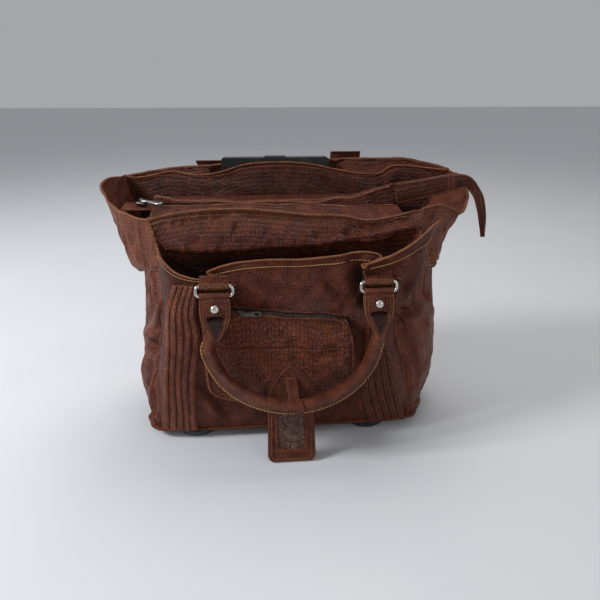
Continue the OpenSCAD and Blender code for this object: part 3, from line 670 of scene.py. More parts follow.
# The band below the front rim, its lower fold over the slip compartment, then the wall down inside
FRONT = [
    [(-156, -58, 303), (-124, -62, 311), (-80, -63, 315), (-40, -63, 315), (-3, -62, 311), (40, -61, 306),
     (76, -60, 304), (112, -58, 297), (148, -52, 301), (184, -42, 306)],
    [(-153, -65, 288), (-124, -69, 296), (-80, -71, 298), (-40, -72, 298), (-3, -71, 295), (40, -70, 293),
     (76, -68, 293), (112, -64, 291), (148, -60, 295), (182, -52, 298)],
    [(-151, -67, 278), (-126, -76, 273), (-82, -79, 271), (-40, -80, 272), (-3, -80, 273), (40, -79, 275),
     (76, -77, 280), (112, -74, 285), (148, -69, 289), (180, -60, 291)],
    [(-150, -66, 270), (-128, -68, 262), (-82, -70, 260), (-40, -71, 261), (-3, -71, 262), (40, -70, 264),
     (76, -69, 268), (112, -68, 272), (148, -66, 278), (178, -62, 282)],
    [(-148, -68, 240), (-128, -66, 235), (-82, -66, 230), (-40, -66, 230), (-3, -66, 230), (40, -66, 230),
     (76, -66, 232), (112, -67, 234), (144, -70, 238), (168, -74, 245)],
    [(-156, -73, 160), (-128, -72, 160), (-82, -72, 160), (-40, -72, 160), (-3, -72, 160), (40, -72, 160),
     (76, -72, 160), (112, -72, 160), (134, -74, 160), (150, -77, 160)],
    [(-174, -88, 15), (-128, -86, 15), (-82, -86, 15), (-40, -86, 15), (-3, -86, 15), (40, -86, 15),
     (76, -86, 15), (112, -86, 15), (148, -86, 15), (178, -88, 15)]]

BACK_INNER = [
    [(-216, 76, 333), (-190, 77, 330), (-150, 78, 338), (-100, 75, 332), (-50, 73, 346), (0, 73, 350),
     (49, 73, 347), (93, 73, 338), (145, 75, 331), (176, 76, 343), (215, 75, 340), (258, 68, 336)],
    [(-206, 76, 310), (-186, 74, 308), (-150, 71, 310), (-100, 70, 306), (-60, 69, 308), (0, 69, 312),
     (49, 69, 312), (93, 69, 308), (145, 70, 308), (176, 72, 312), (210, 73, 310), (240, 72, 308)],
    [(-184, 76, 230), (-165, 71, 230), (-140, 70, 230), (-100, 70, 230), (-60, 70, 230), (0, 70, 230),
     (49, 70, 230), (93, 70, 230), (140, 70, 230), (160, 70, 230), (185, 72, 230), (205, 77, 228)],
    [(-174, 78, 64), (-160, 71, 64), (-140, 70, 64), (-100, 70, 64), (-60, 70, 64), (0, 70, 64),
     (49, 70, 64), (93, 70, 64), (140, 70, 64), (160, 71, 64), (172, 74, 64), (186, 80, 64)]]

BACK_OUTER = [
    [(-216, 76, 333), (-200, 83, 334), (-150, 87, 340), (-110, 88, 343), (-60, 88, 347), (0, 88, 349),
     (49, 88, 350), (110, 88, 351), (150, 88, 352), (196, 87, 350), (235, 82, 343), (258, 68, 336)],
    [(-212, 82, 326), (-194, 89, 330), (-150, 92, 336), (-110, 93, 338), (-60, 93, 342), (0, 93, 344),
     (49, 93, 345), (110, 93, 346), (150, 93, 346), (196, 92, 343), (232, 88, 335), (254, 76, 326)],
    [(-200, 84, 290), (-188, 91, 290), (-150, 94, 290), (-110, 94, 290), (-60, 94, 290), (0, 94, 290),
     (49, 94, 290), (110, 94, 290), (150, 94, 290), (186, 93, 290), (214, 89, 290), (232, 80, 288)],
    [(-184, 85, 228), (-174, 91, 228), (-150, 93, 228), (-110, 94, 228), (-60, 94, 228), (0, 94, 228),
     (49, 94, 228), (110, 94, 228), (150, 93, 228), (178, 92, 228), (194, 89, 228), (205, 82, 226)],
    [(-176, 88, 150), (-168, 92, 150), (-150, 93, 150), (-110, 94, 150), (-60, 94, 150), (0, 94, 150),
     (49, 94, 150), (110, 94, 150), (148, 93, 150), (168, 92, 150), (182, 91, 150), (193, 88, 150)],
    [(-176, 90, 68), (-166, 93, 68), (-144, 94, 68), (-110, 94, 68), (-60, 94, 68), (0, 94, 68),
     (49, 94, 68), (110, 94, 68), (146, 94, 68), (166, 93, 68), (178, 92, 68), (189, 90, 68)]]

OUTER_RIM = [(-149, -70, 277), (-141, -83, 260), (-124, -92, 246), (-100, -96, 240), (-78, -98, 239),
             (-56, -99, 232), (-68, -93, 239), (-88, -90, 245), (-72, -89, 252), (-46, -90, 258),
             (-10, -90, 260), (25, -90, 259), (70, -90, 263), (104, -89, 266), (122, -90, 261),
             (112, -93, 255), (97, -98, 251), (118, -98, 258), (140, -96, 266), (164, -88, 278),
             (188, -72, 289), (204, -58, 296)]


def wall_y(x, z):
    """Depth of the slip compartment's wall below its folds."""
    x, z = np.asarray(x, float), np.asarray(z, float)
    across = (x - 3) / 175
    return -95 - 6 * np.sin(np.pi * np.clip((z - 14) / 235, 0, 1)) + 4 * np.abs(across) ** 6


def wall_left(z):
    return np.interp(z, [14, 60, 100, 140, 190, 235], [-172, -165, -159, -150, -141, -133])


def wall_right(z):
    return np.interp(z, [14, 60, 100, 132, 172, 195, 225], [178, 170, 156, 143, 137, 150, 163])


def outer_wall_rows():
    """Rim first, then rows that lose the folds as they go down."""
    rim = np.array(OUTER_RIM, float)
    count = len(rim)
    spread = (np.arange(count) - 1) / (count - 3)
    rows = [rim]
    for z, keep in ((228, 0.55), (203, 0.28), (176, 0.1), (140, 0), (95, 0), (50, 0), (15, 0)):
        x = mix(wall_left(z), wall_right(z), spread)
        row = np.stack([x, wall_y(x, z), np.full(count, float(z))], axis=1)
        row[0] = seam(SEAM_FRONT_L, z)
        row[-1] = seam(SEAM_FRONT_R, z)
        row[1, 1] += 3
        row[-2, 1] += 3
        step = rim - np.array([0, 0, 1]) * (rim[:, 2:] - z)
        row[1:-1, :2] += (step - row)[1:-1, :2] * keep
        rows.append(row)
    return rows


# ---- Leather panels ------------------------------------------------------------------------------

def rim_roll(build, path, radius=1.5, wear_light_and_shade=0.6, up=(0, 1, 0)):
    """The folded-over edge of a panel: a soft roll, worn pale along its ridge."""
    path = spline(path, max(40, len(path) * 10))
    u = np.linspace(0, 1, len(path))
    thick = radius * (1 + 0.16 * waves(u * 400, 0 * u, 23, 5, int(abs(path[0, 0])) + 3))
    build.tube(path, thick, sides=10, wear_light_and_shade=wear_light_and_shade, up=up)


def stitched(build, path, out, every=4.4):
    stitches(build, spline(path, 160), out=out, every=every, slot=1)


def from_edge(rows, cols):
    """How many grid steps each point is from the nearest edge."""
    row, col = np.arange(rows)[:, None], np.arange(cols)[None, :]
    return np.minimum(np.minimum(row, rows - 1 - row), np.minimum(col, cols - 1 - col))


def side_folds(grid, folds, seed, out):
    """Pushes a side panel's grid along its normals: slumped folds, then fine random wrinkles."""
    n = normals(grid) * out
    u, v = lengths(grid)
    push = np.zeros_like(u)
    for start, end, width, depth in folds:
        push += crease(u, v, start, end, width, depth)
    push += waves(u, v, 55, 7, seed) * 1.1 + waves(u, v, 20, 9, seed + 5, 1.6) * 0.5
    return grid + n * (push * soft_step(from_edge(*u.shape), 0, 9))[..., None]


def fold_shade(grid, folds):
    """Darkens the bottoms of the deep folds."""
    u, v = lengths(grid)
    return -0.055 * sum(np.clip(-crease(u, v, a, b, width, depth), 0, None) for a, b, width, depth in folds)


def panel(name, rows, nu, nv, mats, node, folds, seed, out, spare, reach, wear_light_and_shade=None, extra=None):
    """A leather panel of the bag in place of a CAD node. Returns its grid."""
    grid = surface(rows, nu, nv)
    grid = side_folds(grid, folds, seed, out)
    if spare:
        grid = slacken(grid, spare, reach, seed)
    build = Build()
    build.sheet(grid, THICK, wear_light_and_shade=wear_light_and_shade(grid) if wear_light_and_shade else None, inner_slot=2, out=out)
    if extra:
        extra(build, grid)
    build.make(name, "bag", mats, [node])
    return grid


SKIN = [CROC, THREAD, CROC_PLAIN]
# the sides' skin: the painted lighter leather outside, plain leather inside
PAINTED_LIT_SKIN = [CROC_PAINTED_LIT, THREAD, CROC_PLAIN]


def make_sides():
    for left, wing, gusset in ((True, LEFT_WING, LEFT_GUSSET), (False, RIGHT_WING, RIGHT_GUSSET)):
        side = "left" if left else "right"
        out = facing(surface(wing, 90, WING_ROWS), (-1 if left else 1, 0, 0))
        # painted on each wing: a faint tan lightening over all of it, and painted shade along the hem's last
        # rows
        wing_lightening_and_hem_shade = lambda g: 0.2 - soft_step(np.linspace(0, 1, WING_ROWS)[:, None], 0.985, 1.0)
        upright = [((x, 20), (x + 6, 90), 3.2, d) for x, d in
                   ((-62, -2.2), (-46, 2.4), (-30, -2.6), (-14, 1.8), (6, -2.4), (24, 2.2), (44, -2.2),
                    (62, 1.8))]

        def wing_trim(build, g):
            rim = g[0]
            rim_roll(build, rim[::6], 1.6, 0.75, up=(0, 0, 1))
            below = g[3]
            side_way = np.array([-1, -0.3, 0.2]) if left else np.array([1, -0.3, 0.2])
            stitched(build, below[::8] + normals(g)[3][::8] * out * 0.3, side_way)

        upper = panel(side + "_wing_leather", wing, 90, WING_ROWS, PAINTED_LIT_SKIN, side + "_wing", upright,
                      11 if left else 12, out, 0.03, 5, wing_lightening_and_hem_shade, wing_trim)
        slumps = LEFT_SLUMPS if left else RIGHT_SLUMPS
        lower = panel(side + "_gusset_leather", gusset, SIDE_GRID, SIDE_GRID, PAINTED_LIT_SKIN, side + "_gusset",
                      slumps, 21 if left else 22, out, 0.05, 8, lambda g: fold_shade(g, slumps))
        # the lining that closes the gap between the wing's hem and the gusset inside it
        inward = (normals(upper) * out)[44]
        hem = spline(upper[44] - inward * 3.4, SIDE_GRID)
        seat = lower[2] - (normals(lower) * out)[2] * 1.2
        t = np.linspace(0, 1, 14)[:, None, None]
        closing = mix(hem[None], seat[None], t)
        build = Build()
        build.sheet(closing, 0.8, out=out)
        build.make(side + "_hem_lining", "bag", [CROC_PLAIN])


# Folds of the gussets: start and end as (across, down from the top edge), width and depth
LEFT_SLUMPS = [((-98, 84), (-30, 100), 8, 7), ((-98, 112), (-30, 104), 6, -10),
               ((-104, 30), (-74, 100), 6, -7),
               ((-92, 30), (-52, 90), 9, 6), ((-60, 30), (-25, 92), 7, -5), ((-94, 126), (-72, 225), 8, 6),
               ((-70, 130), (-56, 225), 6, -8), ((-50, 120), (-30, 225), 9, 5), ((10, 60), (60, 120), 10, 5),
               ((20, 120), (70, 180), 11, -6), ((0, 150), (40, 215), 10, 4)]
RIGHT_SLUMPS = [((-100, 64), (-62, 70), 6, 7), ((-102, 52), (-58, 54), 5, -7), ((-92, 14), (-72, 48), 7, 4),
                ((-100, 88), (-74, 200), 8, -4), ((-60, 90), (-20, 130), 9, 2), ((10, 60), (70, 110), 10, 5),
                ((20, 120), (80, 160), 11, -6)]


def make_front_panel():
    def shade(g):
        z = g[..., 2]
        return -0.9 * soft_step(z, 272, 246) * soft_step(g[..., 1], -81, -76) + 0.2 * soft_step(z, 285, 300)

    def trim(build, g):
        rim_roll(build, g[0][::8] + np.array([0, 0, 0.4]), 1.6, 0.75, up=(0, 1, 0))
        row = g[5]
        stitched(build, row[::10] + np.array([0, -0.5, 0]), (0, -1, 0.2))

    folds = [((-140, 26), (-60, 34), 6, 2.5), ((20, 30), (90, 18), 6, -3), ((60, 34), (130, 26), 5, 3)]
    panel("front_panel_leather", FRONT, FRONT_COLS, 90, SKIN, "front_panel", folds, 31,
          facing(surface(FRONT, 20, 20), (0, -1, 0)), 0.02, 4, shade, trim)


BEZEL_HALF = 90


def make_back():
    n_in = facing(surface(BACK_INNER, BACK_COLS, 60), (0, -1, 0), (20, 60))

    def inner_trim(build, g):
        rim_roll(build, g[0][::8], 1.5, 0.75, up=(0, 1, 0))
        for col in (0, -1):
            # tubes down both inner corners, carrying the same painted shade as the inner face
            build.tube(g[2::3, col] - (0, 1, 0), 2.4, sides=8, wear_light_and_shade=-0.4, up=(0, 1, 0))
        stitched(build, g[3][::10] + np.array([0, -0.6, 0]), (0, -1, 0.2))

    # the inner face gets painted shade below its rim
    panel("back_panel_leather", BACK_INNER, BACK_COLS, 60, SKIN, "back_panel",
          [((-120, 14), (-60, 40), 6, 2.5), ((30, 10), (80, 44), 7, -2.5), ((90, 8), (140, 40), 6, 2.5)], 41,
          n_in,
          0.0, 4, lambda g: -0.4 * soft_step(np.linspace(0, 1, 60)[:, None], 0.03, 0.2), inner_trim)
    n_out = facing(surface(BACK_OUTER, BACK_COLS, 90), (0, 1, 0), (45, 60))

    def outer_trim(build, g):
        for x in (-112, 112):
            col = int(np.argmin(np.abs(g[45, :, 0] - x)))
            for step in (0, -7 * np.sign(x)):
                stitched(build, g[6:-4:6, col] + np.array([step, 0.6, 0]), (0, 1, 0))
        stitched(build, g[5][::10] + np.array([0, 0.6, 0]), (0, 1, 0.2))
        rim_roll(build, g[0][::8] + np.array([0, 0, 0.5]), 1.6, 0.75, up=(0, 1, 0))

    # leather laid over the gap between the two back rims, on both sides of the trolley's bezel
    build = Build()
    for side in (-1, 1):
        near, far = (rim[rim[:, 0] * side > BEZEL_HALF]
                     for rim in (spline(BACK_INNER[0], 260), spline(BACK_OUTER[0], 260)))
        near, far = spline(near[::6], 80), spline(far[::6], 80)
        drop = np.array([0, 0, 1]) * mix(4.5, 14, soft_step(BEZEL_HALF + 10 - np.abs(near[:, :1]), 0, 8))
        ledge = surface([near + (0, 1.5, 0) - drop * 0.5, near * 0.65 + far * 0.35 - drop,
                         near * 0.3 + far * 0.7 - drop, far - (0, 1.5, 0) - drop * 0.4], 80, 14)
        ledge[..., 2] += waves(ledge[..., 0], ledge[..., 1], 30, 7, 47) * 0.9
        build.sheet(ledge, 1.2, out=facing(ledge, (0, 0, 1)))
    build.make("back_top_leather", "bag", [CROC])
    panel("trolley_cover_leather", BACK_OUTER, BACK_COLS, 90, SKIN, "trolley_cover",
          [((-100, 60), (-80, 250), 10, 2), ((90, 60), (100, 250), 10, -2)], 43, n_out, 0.015, 4, None,
          outer_trim)


def make_outer_wall():
    rows = outer_wall_rows()
    grid = surface(rows, 230, 110)
    out = facing(grid, (0, -1, 0), (80, 115))
    n = normals(grid) * out
    x, z = grid[..., 0], grid[..., 2]
    push = waves(x, z, 60, 8, 51) * 0.9 + waves(x, z, 22, 9, 52) * 0.35
    for start, end, width, depth in (
            ((-40, 252), (-20, 215), 5, 1.6), ((50, 258), (70, 215), 6, -2.2), ((70, 252), (86, 205), 7, 3.6),
            ((92, 262), (104, 196), 8, -8), ((40, 246), (92, 190), 5, -3), ((20, 250), (70, 200), 6, 2.4),
                                     ((-30, 240), (30, 222), 5, 1.5),
            ((150, 262), (140, 200), 5, 3), ((164, 262), (156, 200), 5, -3),
                                     ((132, 240), (125, 195), 5, -2.5),
            ((-112, 92), (-78, 44), 8, -7), ((-100, 60), (-84, 30), 7, 5), ((-84, 66), (-50, 40), 7, -5),
            ((-60, 62), (-30, 36), 8, 3.5), ((104, 96), (84, 40), 8, -7), ((92, 66), (62, 36), 7, 5),
                                     ((110, 60), (100, 24), 6, 4),
            ((-20, 56), (50, 50), 8, 3), ((-40, 34), (60, 36), 7, -2.5)):
        push += crease(x, z, start, end, width, depth)
    edge = np.minimum(np.arange(230), np.arange(230)[::-1])[None, :]
    foot = np.arange(110)[::-1][:, None]
    grid = grid + n * (push * soft_step(edge, 0, 12) * soft_step(foot, 0, 10))[..., None]
    build = Build()
    shade = -0.85 * bump_at(x + 0.14 * (z - 230), 100, 9) * soft_step(z, 176, 200) * soft_step(262 - z, 0, 30)
    shade = shade - 0.5 * soft_step(z, 262, 236) * (grid[..., 1] > -86)
    build.sheet(grid, THICK, wear_light_and_shade=shade, inner_slot=2, out=out)
    rim_roll(build, grid[0][::4], 1.5, 0.85, up=(0, 0, 1))
    stitched(build, grid[4][::6] + n[4][::6] * 0.4, (0, -1, 0.1), every=4.0)
    build.make("outer_front_leather", "bag", [CROC_PLAIN, GOLD, CROC_PLAIN],
               ["outer_front_panel"])
    return grid, n


make_sides()
make_front_panel()
make_back()
WALL, WALL_OUT = make_outer_wall()


# ---- Bands with tucked seams ---------------------------------------------------------------------

def on_wall(x, z):
    """Nearest point of the finished outer wall to (x, z), and the way out of it there."""
    gap = (WALL[..., 0] - x) ** 2 + (WALL[..., 2] - z) ** 2
    gap[WALL[..., 1] > -80] += 1e6
    i, j = np.unravel_index(np.argmin(gap), gap.shape)
    return WALL[i, j], WALL_OUT[i, j]


def band(name, left, right, replaces, seed, skin=SKIN):
    """A panel of flat tucks, sewn over the wall from the foot up to the ring."""
    nu, nv, tucks = 72, 90, 5
    zs = np.linspace(15.5, left[-1][1], nv)
    xl = spline(np.array(left, float), 200)
    xr = spline(np.array(right, float), 200)
    u = np.linspace(0, 1, nu)
    grid = np.zeros((nv, nu, 3))
    for row, z in enumerate(zs):
        xs = mix(np.interp(z, xl[:, 1], xl[:, 0]), np.interp(z, xr[:, 1], xr[:, 0]), u)
        hits = [on_wall(x, z)[0][1] for x in xs[::5]]
        grid[row] = np.stack([xs, np.interp(xs, xs[::5], hits), np.full(nu, z)], axis=1)
    kernel = np.ones(9) / 9
    for col in range(nu):
        grid[:, col, 1] = np.convolve(np.pad(grid[:, col, 1], 4, mode="edge"), kernel, mode="valid")
    along = np.linspace(0, 1, nv)[:, None]
    inside = np.sin(np.pi * u)[None, :]
    sway = 0.07 * np.sin(along * 6 + seed) + 0.02 * np.sin(along * 13 + 2 * seed)
    phase = np.clip(u[None, :] + sway * inside * 0.5, 0, 1) * tucks
    tuck = np.abs(np.sin(np.pi * phase)) ** 0.4
    lean = (phase % 1) - 0.5
    lift = 1.2 + 2.3 * tuck + 1.0 * lean * tuck + waves(grid[..., 0], grid[..., 2], 30, 7, seed) * 0.6
    grid[..., 1] -= lift
    # tan wear on the tucks' crowns, and painted shade in the valleys between them
    wear_light_and_shade = 0.22 * soft_step(tuck, 0.7, 0.9) * soft_step(1 - tuck, 0.0, 0.1) - 0.95 * soft_step(1 - tuck, 0.45,
                                                                                               0.8)
    build = Build()
    build.sheet(grid, 1.8, wear_light_and_shade=wear_light_and_shade, out=facing(grid, (0, -1, 0)), inner_slot=2)
    for k in range(1, tucks):
        col = np.argmin(np.abs(phase - k - 0.18), axis=1)
        path = grid[np.arange(nv), col][::5] + np.array([0, -0.15, 0])
        stitches(build, spline(path, 120), every=4.4, long=2.4, thick=0.3, slot=1)
    for col in (0, nu - 1):
        rim_roll(build, grid[::6, col] + np.array([0, 0.4, 0]), 1.2, 0.25, up=(0, 1, 0))
    build.make(name, "bag", skin, replaces)


LEFT_BAND_L = [(-170, 15), (-163, 60), (-157, 100), (-151, 140), (-148, 175), (-142, 205), (-131, 232)]
LEFT_BAND_R = [(-121, 15), (-119, 60), (-115, 100), (-107, 140), (-103, 168), (-106, 200), (-98, 232)]
RIGHT_BAND_L = [(121, 15), (110, 60), (103, 100), (106, 130), (108, 165), (104, 236)]
RIGHT_BAND_R = [(174, 15), (163, 60), (149, 112), (134, 150), (131, 175), (143, 205), (150, 236)]
# the left band takes the painted lighter leather of the sides
band("left_band_leather", LEFT_BAND_L, LEFT_BAND_R, ["left_piped_band"], 61, PAINTED_LIT_SKIN)
band("right_band_leather", RIGHT_BAND_L, RIGHT_BAND_R, ["right_piped_band"], 62)


# ---- Where the carry handles hang ------------------------------------------------------------------

RING_PITCH = 198
HANDLE_DROP = 153
ARCH = 90
ROLL_R = 8.5
FRONT_AXIS, FRONT_LEAN, FRONT_SHIFT = (19, -105, 234), 15.5, -7
REAR_AXIS, REAR_LEAN, REAR_SHIFT = (6, 102, 336), 4, 0


def hang(points, axis, lean, turned):
    """Handle points, drawn hanging from the X axis, to their place at the front or the back."""
    p = np.asarray(points, float)
    if turned:
        p = p * np.array([-1, -1, 1])
        lean = -lean
    a = math.radians(-lean)
    y = p[..., 1] * math.cos(a) - p[..., 2] * math.sin(a)
    z = p[..., 1] * math.sin(a) + p[..., 2] * math.cos(a)
    return np.stack([p[..., 0], y, z], axis=-1) + np.array(axis, float)


def roll_path(shift):
    """The arch of a carry handle, hanging from the X axis."""
    return [(shift + (RING_PITCH / 2 + 4) * math.cos(a), 0, ARCH - HANDLE_DROP + ARCH * math.sin(a))
            for a in np.radians(range(188, 353, 8))]


# ---- Box pocket ------------------------------------------------------------------------------------

# The pocket from the middle of its face to its sewn edge: ring, how far out, how proud of the wall
POCKET_SECTION = [(0, 0, 1), (0.3, 0.40, 1), (0.6, 0.78, 0.99), (0.74, 0.945, 0.95), (0.8, 0.99, 0.86),
                  (0.86, 1.008, 0.62), (0.93, 1.012, 0.32), (1, 1.015, 0)]


def clear_of_handle(x, y, z):
    """Keeps the pocket's face behind the hanging handle."""
    roll = hang(roll_path(FRONT_SHIFT), FRONT_AXIS, FRONT_LEAN, False)
    legs = np.array([[FRONT_AXIS[0] + q * RING_PITCH / 2, -105 - k * 0.277, 234 - k] for q in (-1, 1)
                     for k in (20, 30, 40, 50)])
    for px, py, pz in np.concatenate([spline(roll, 60), legs]):
        away = np.hypot(x - px, z - pz)
        y = np.maximum(y, py + 11 - 40 * soft_step(away, 5, 26))
    return y


def make_pocket():
    nu, nv = 130, 120
    u = np.linspace(-1, 1, nu)[None, :] + np.zeros((nv, 1))
    v = np.linspace(-1, 1, nv)[:, None] + np.zeros((1, nu))
    m = np.maximum(np.maximum(np.abs(u), np.abs(v)), 1e-6)
    corner = (np.abs(u / m) ** 8 + np.abs(v / m) ** 8) ** (-1 / 8)
    section = spline(POCKET_SECTION, 400)
    far = np.interp(m, section[:, 0], section[:, 1])
    proud = np.interp(m, section[:, 0], section[:, 2])
    du, dv = u / m * corner * far, v / m * corner * far
    x = -3 + 96 * du - 5 * soft_step(dv, 0.2, 1) * soft_step(du, 0.5, 1)
    z = 137 + 60 * dv - 10 * du * soft_step(dv, -0.2, 1) + 7 * soft_step(-du, 0.6, 1) * soft_step(-dv, 0.4, 1)
    z = z - 2.5 * np.exp(-((du - 0.1) / 0.4) ** 2) * soft_step(dv, 0.2, 1)
    depth = mix(21.5, 10.5, soft_step(dv, -0.6, 0.95)) + 1.5 * (1 - m ** 2)
    wrinkles = waves(x, z, 62, 7, 71) * 1.3 + waves(x, z, 24, 8, 72) * 0.5
    for start, end, width, size in (((14, 188), (60, 120), 8, 1.8), ((40, 192), (86, 120), 7, -3),
                                    ((60, 180), (90, 96), 6, 2.4),
                                    ((-90, 118), (-40, 92), 7, 2), ((-76, 96), (10, 84), 6, -2.4),
                                    ((30, 84), (90, 108), 6, -2.6)):
        wrinkles = wrinkles + crease(x, z, start, end, width, size)
    y = wall_y(x, z) - 1.5 - (depth + wrinkles * soft_step(1 - m, 0.05, 0.3)) * proud
    y = clear_of_handle(x, y, z)
    grid = np.stack([x, y, z], axis=2)
    out = facing(grid, (0, -1, 0))
    grid = slacken(grid, 0.015, 3, 73, fall=0.6)
    build = Build()
    # worn pale low on the left; painted shade on the pocket's sides down to the wall and along its top
    low_left = np.exp(-((x + 70) / 45) ** 2 - ((z - 80) / 26) ** 2)
    wear_light_and_shade = 0.55 * low_left * soft_step(m, 0.6, 0.75)
    wear_light_and_shade = wear_light_and_shade - 0.75 * soft_step(m, 0.84, 0.97) - 0.5 * soft_step(dv, 0.9, 1.0)
    build.sheet(grid, 1.8, wear_light_and_shade=wear_light_and_shade, out=out, inner_slot=2)
    # piping round the front edge, worn pale low on the left
    level = 0.775
    ring = []
    for a in np.linspace(0, 2 * math.pi, 120, endpoint=False):
        k = level / max(abs(math.cos(a)), abs(math.sin(a)))
        i, j = (math.sin(a) * k + 1) / 2 * (nv - 1), (math.cos(a) * k + 1) / 2 * (nu - 1)
        ring.append(grid[int(round(i)), int(round(j))])
    ring = np.array(ring)
    smooth = np.mean([np.roll(ring, d, axis=0) for d in range(-2, 3)], axis=0) + np.array([0, -0.5, 0])
    angle = np.linspace(0, 2 * math.pi, 121)
    build.tube(smooth, 1.5, sides=10, wear_light_and_shade=0.1 + 0.7 * np.exp(-((angle - 3.9) / 0.5) ** 2), closed=True,
               up=(0, 1, 0))
    row = int(0.6 * nv)
    build.tube(grid[row, 16:-16:3] + np.array([0, 0.4, 0]), 0.8, sides=8, wear_light_and_shade=-0.4, up=(0, 1, 0))
    stitched(build, grid[row - 2, 17:-17:6] + np.array([0, -0.2, 0]), (0, -1, 0.1), every=4.2)
    piece = build.make("front_pocket_leather", "bag", [CROC_POCKET, THREAD, CROC_PLAIN],
                       ["front_pocket"])
    return grid


POCKET = make_pocket()


def zip_slider(build, centre, along, across, up, scale):
    """A slider's body and its raised bridge."""
    along, across, up = (np.array(a, float) / np.linalg.norm(a) for a in (along, across, up))
    body = [(-6.5, 3.2), (-4.5, 4.6), (0, 4.2), (3.5, 3.2), (6.0, 2.4)]
    rows = []
    for h, shrink in ((0.0, 0.9), (0.5, 1.0), (3.1, 1.0), (3.9, 0.86)):
        left = [centre + along * a * scale + across * w * shrink * scale + up * h * scale for a, w in body]
        right = [centre + along * a * scale - across * w * shrink * scale + up * h * scale for a,
                 w in reversed(body)]
        rows.append(spline(left, 12).tolist() + spline(right, 12).tolist())
    grid = np.array(rows)
    build.cap(build.grid(grid, wrap=True), flip=True)
    arch = [centre + along * (4.4 * math.cos(a)) * scale + up * (3.6 + 3.4 * math.sin(a)) * scale
            for a in np.linspace(0, math.pi, 13)]
    build.tube(arch, 0.95 * scale, sides=8, up=across)


def flat_pull(build, start, along, across, up, length, width, thick=1.5):
    """A flat metal pull with a rounded end, an eye round the bridge and a slot through its far end."""
    along, across, up = (np.array(a, float) / np.linalg.norm(a) for a in (along, across, up))
    half = width / 2
    shape = ((0, 0.55), (0.1, 0.7), (0.3, 0.62), (0.55, 0.9), (0.8, 1.0), (0.94, 0.92), (1.0, 0.55))
    path = spline([(t * length, w * half) for t, w in shape], 28)
    levels = [(-thick / 2, 0.86), (-thick / 2 + 0.3, 1.0), (thick / 2 - 0.3, 1.0), (thick / 2, 0.86)]
    holes = [(0.04 * length, 0.13 * length, 0.3 * half), (0.66 * length, 0.88 * length, 0.5 * half)]

    def ring(points):
        return np.stack([[start + along * a + across * w * s + up * h for a, w in points] for h, s in levels])

    build.grid(ring([(a, w) for a, w in path] + [(a, -w) for a, w in path[::-1]]), wrap=True)
    # faces between the outline and the holes: rows of quads across the pull
    for h_index, flip in ((0, True), (3, False)):
        h, s = levels[h_index]
        for side in (-1, 1):
            strip = []
            for a, w in path:
                cut = max([hw for a0, a1, hw in holes if a0 <= a <= a1] + [0.0])
                strip.append([start + along * a + across * side * cut + up * h,
                              start + along * a + across * side * w * s + up * h])
            build.grid(np.array(strip), flip=flip != (side > 0))
    for a0, a1, w in holes:
        wall = np.stack([[start + along * a + across * b + up * h for a,
                          b in ((a0, -w), (a1, -w), (a1, w), (a0, w))]
                         for h in (-thick / 2, thick / 2)])
        build.grid(wall, wrap=True, flip=True)


def make_pocket_zip():
    build = Build()
    rows = [int((level + 1) / 2 * (len(POCKET) - 1)) for level in (0.8, 0.82, 0.84, 0.86, 0.88, 0.9, 0.92)]
    grid = np.array([POCKET[row, 22:-22:2] for row in rows])
    grid = grid + np.array([0, -0.5, 0.7])
    line = spline(grid[3], 240)
    build.sheet(grid, 0.6, out=facing(grid, (0, 0, 1), (3, 30)))
    run = run_of(line)
    for k, s in enumerate(np.arange(3, run[-1] - 3, 2.1)):
        p = along_run(s, run, line)
        d = 1 if k % 2 else -1
        build.block(p + (-0.7, -1.5 + d * 0.4, -0.2), p + (0.7, 1.5 + d * 0.4, 0.9), 0.3, slot=1, steps=1)
    build.make("pocket_zip_teeth", "bag", [TAPE, BLACK], ["pocket_zip_tape"])
    base = sum(cad_box("pocket_zip_slider")) / 2 + np.array([0, 3.2, 0])
    build = Build()
    zip_slider(build, base, (1, 0, 0), (0, 0.17, 1), (0, -1, 0.17), 0.85)
    build.make("pocket_slider_body", "pocket_slider", [GUNMETAL], ["pocket_zip_slider"])
    build = Build()
    flat_pull(build, base + np.array([0.5, -4.6, 0.4]), (1, 0, 0), (0, 0.17, 1), (0, -1, 0.17), 24, 7)
    build.make("pocket_pull_tag", "pocket_pull", [GUNMETAL], ["pocket_zip_pull"])


make_pocket_zip()


# ---- Zip flaps, lips and the main zip ---------------------------------------------------------------

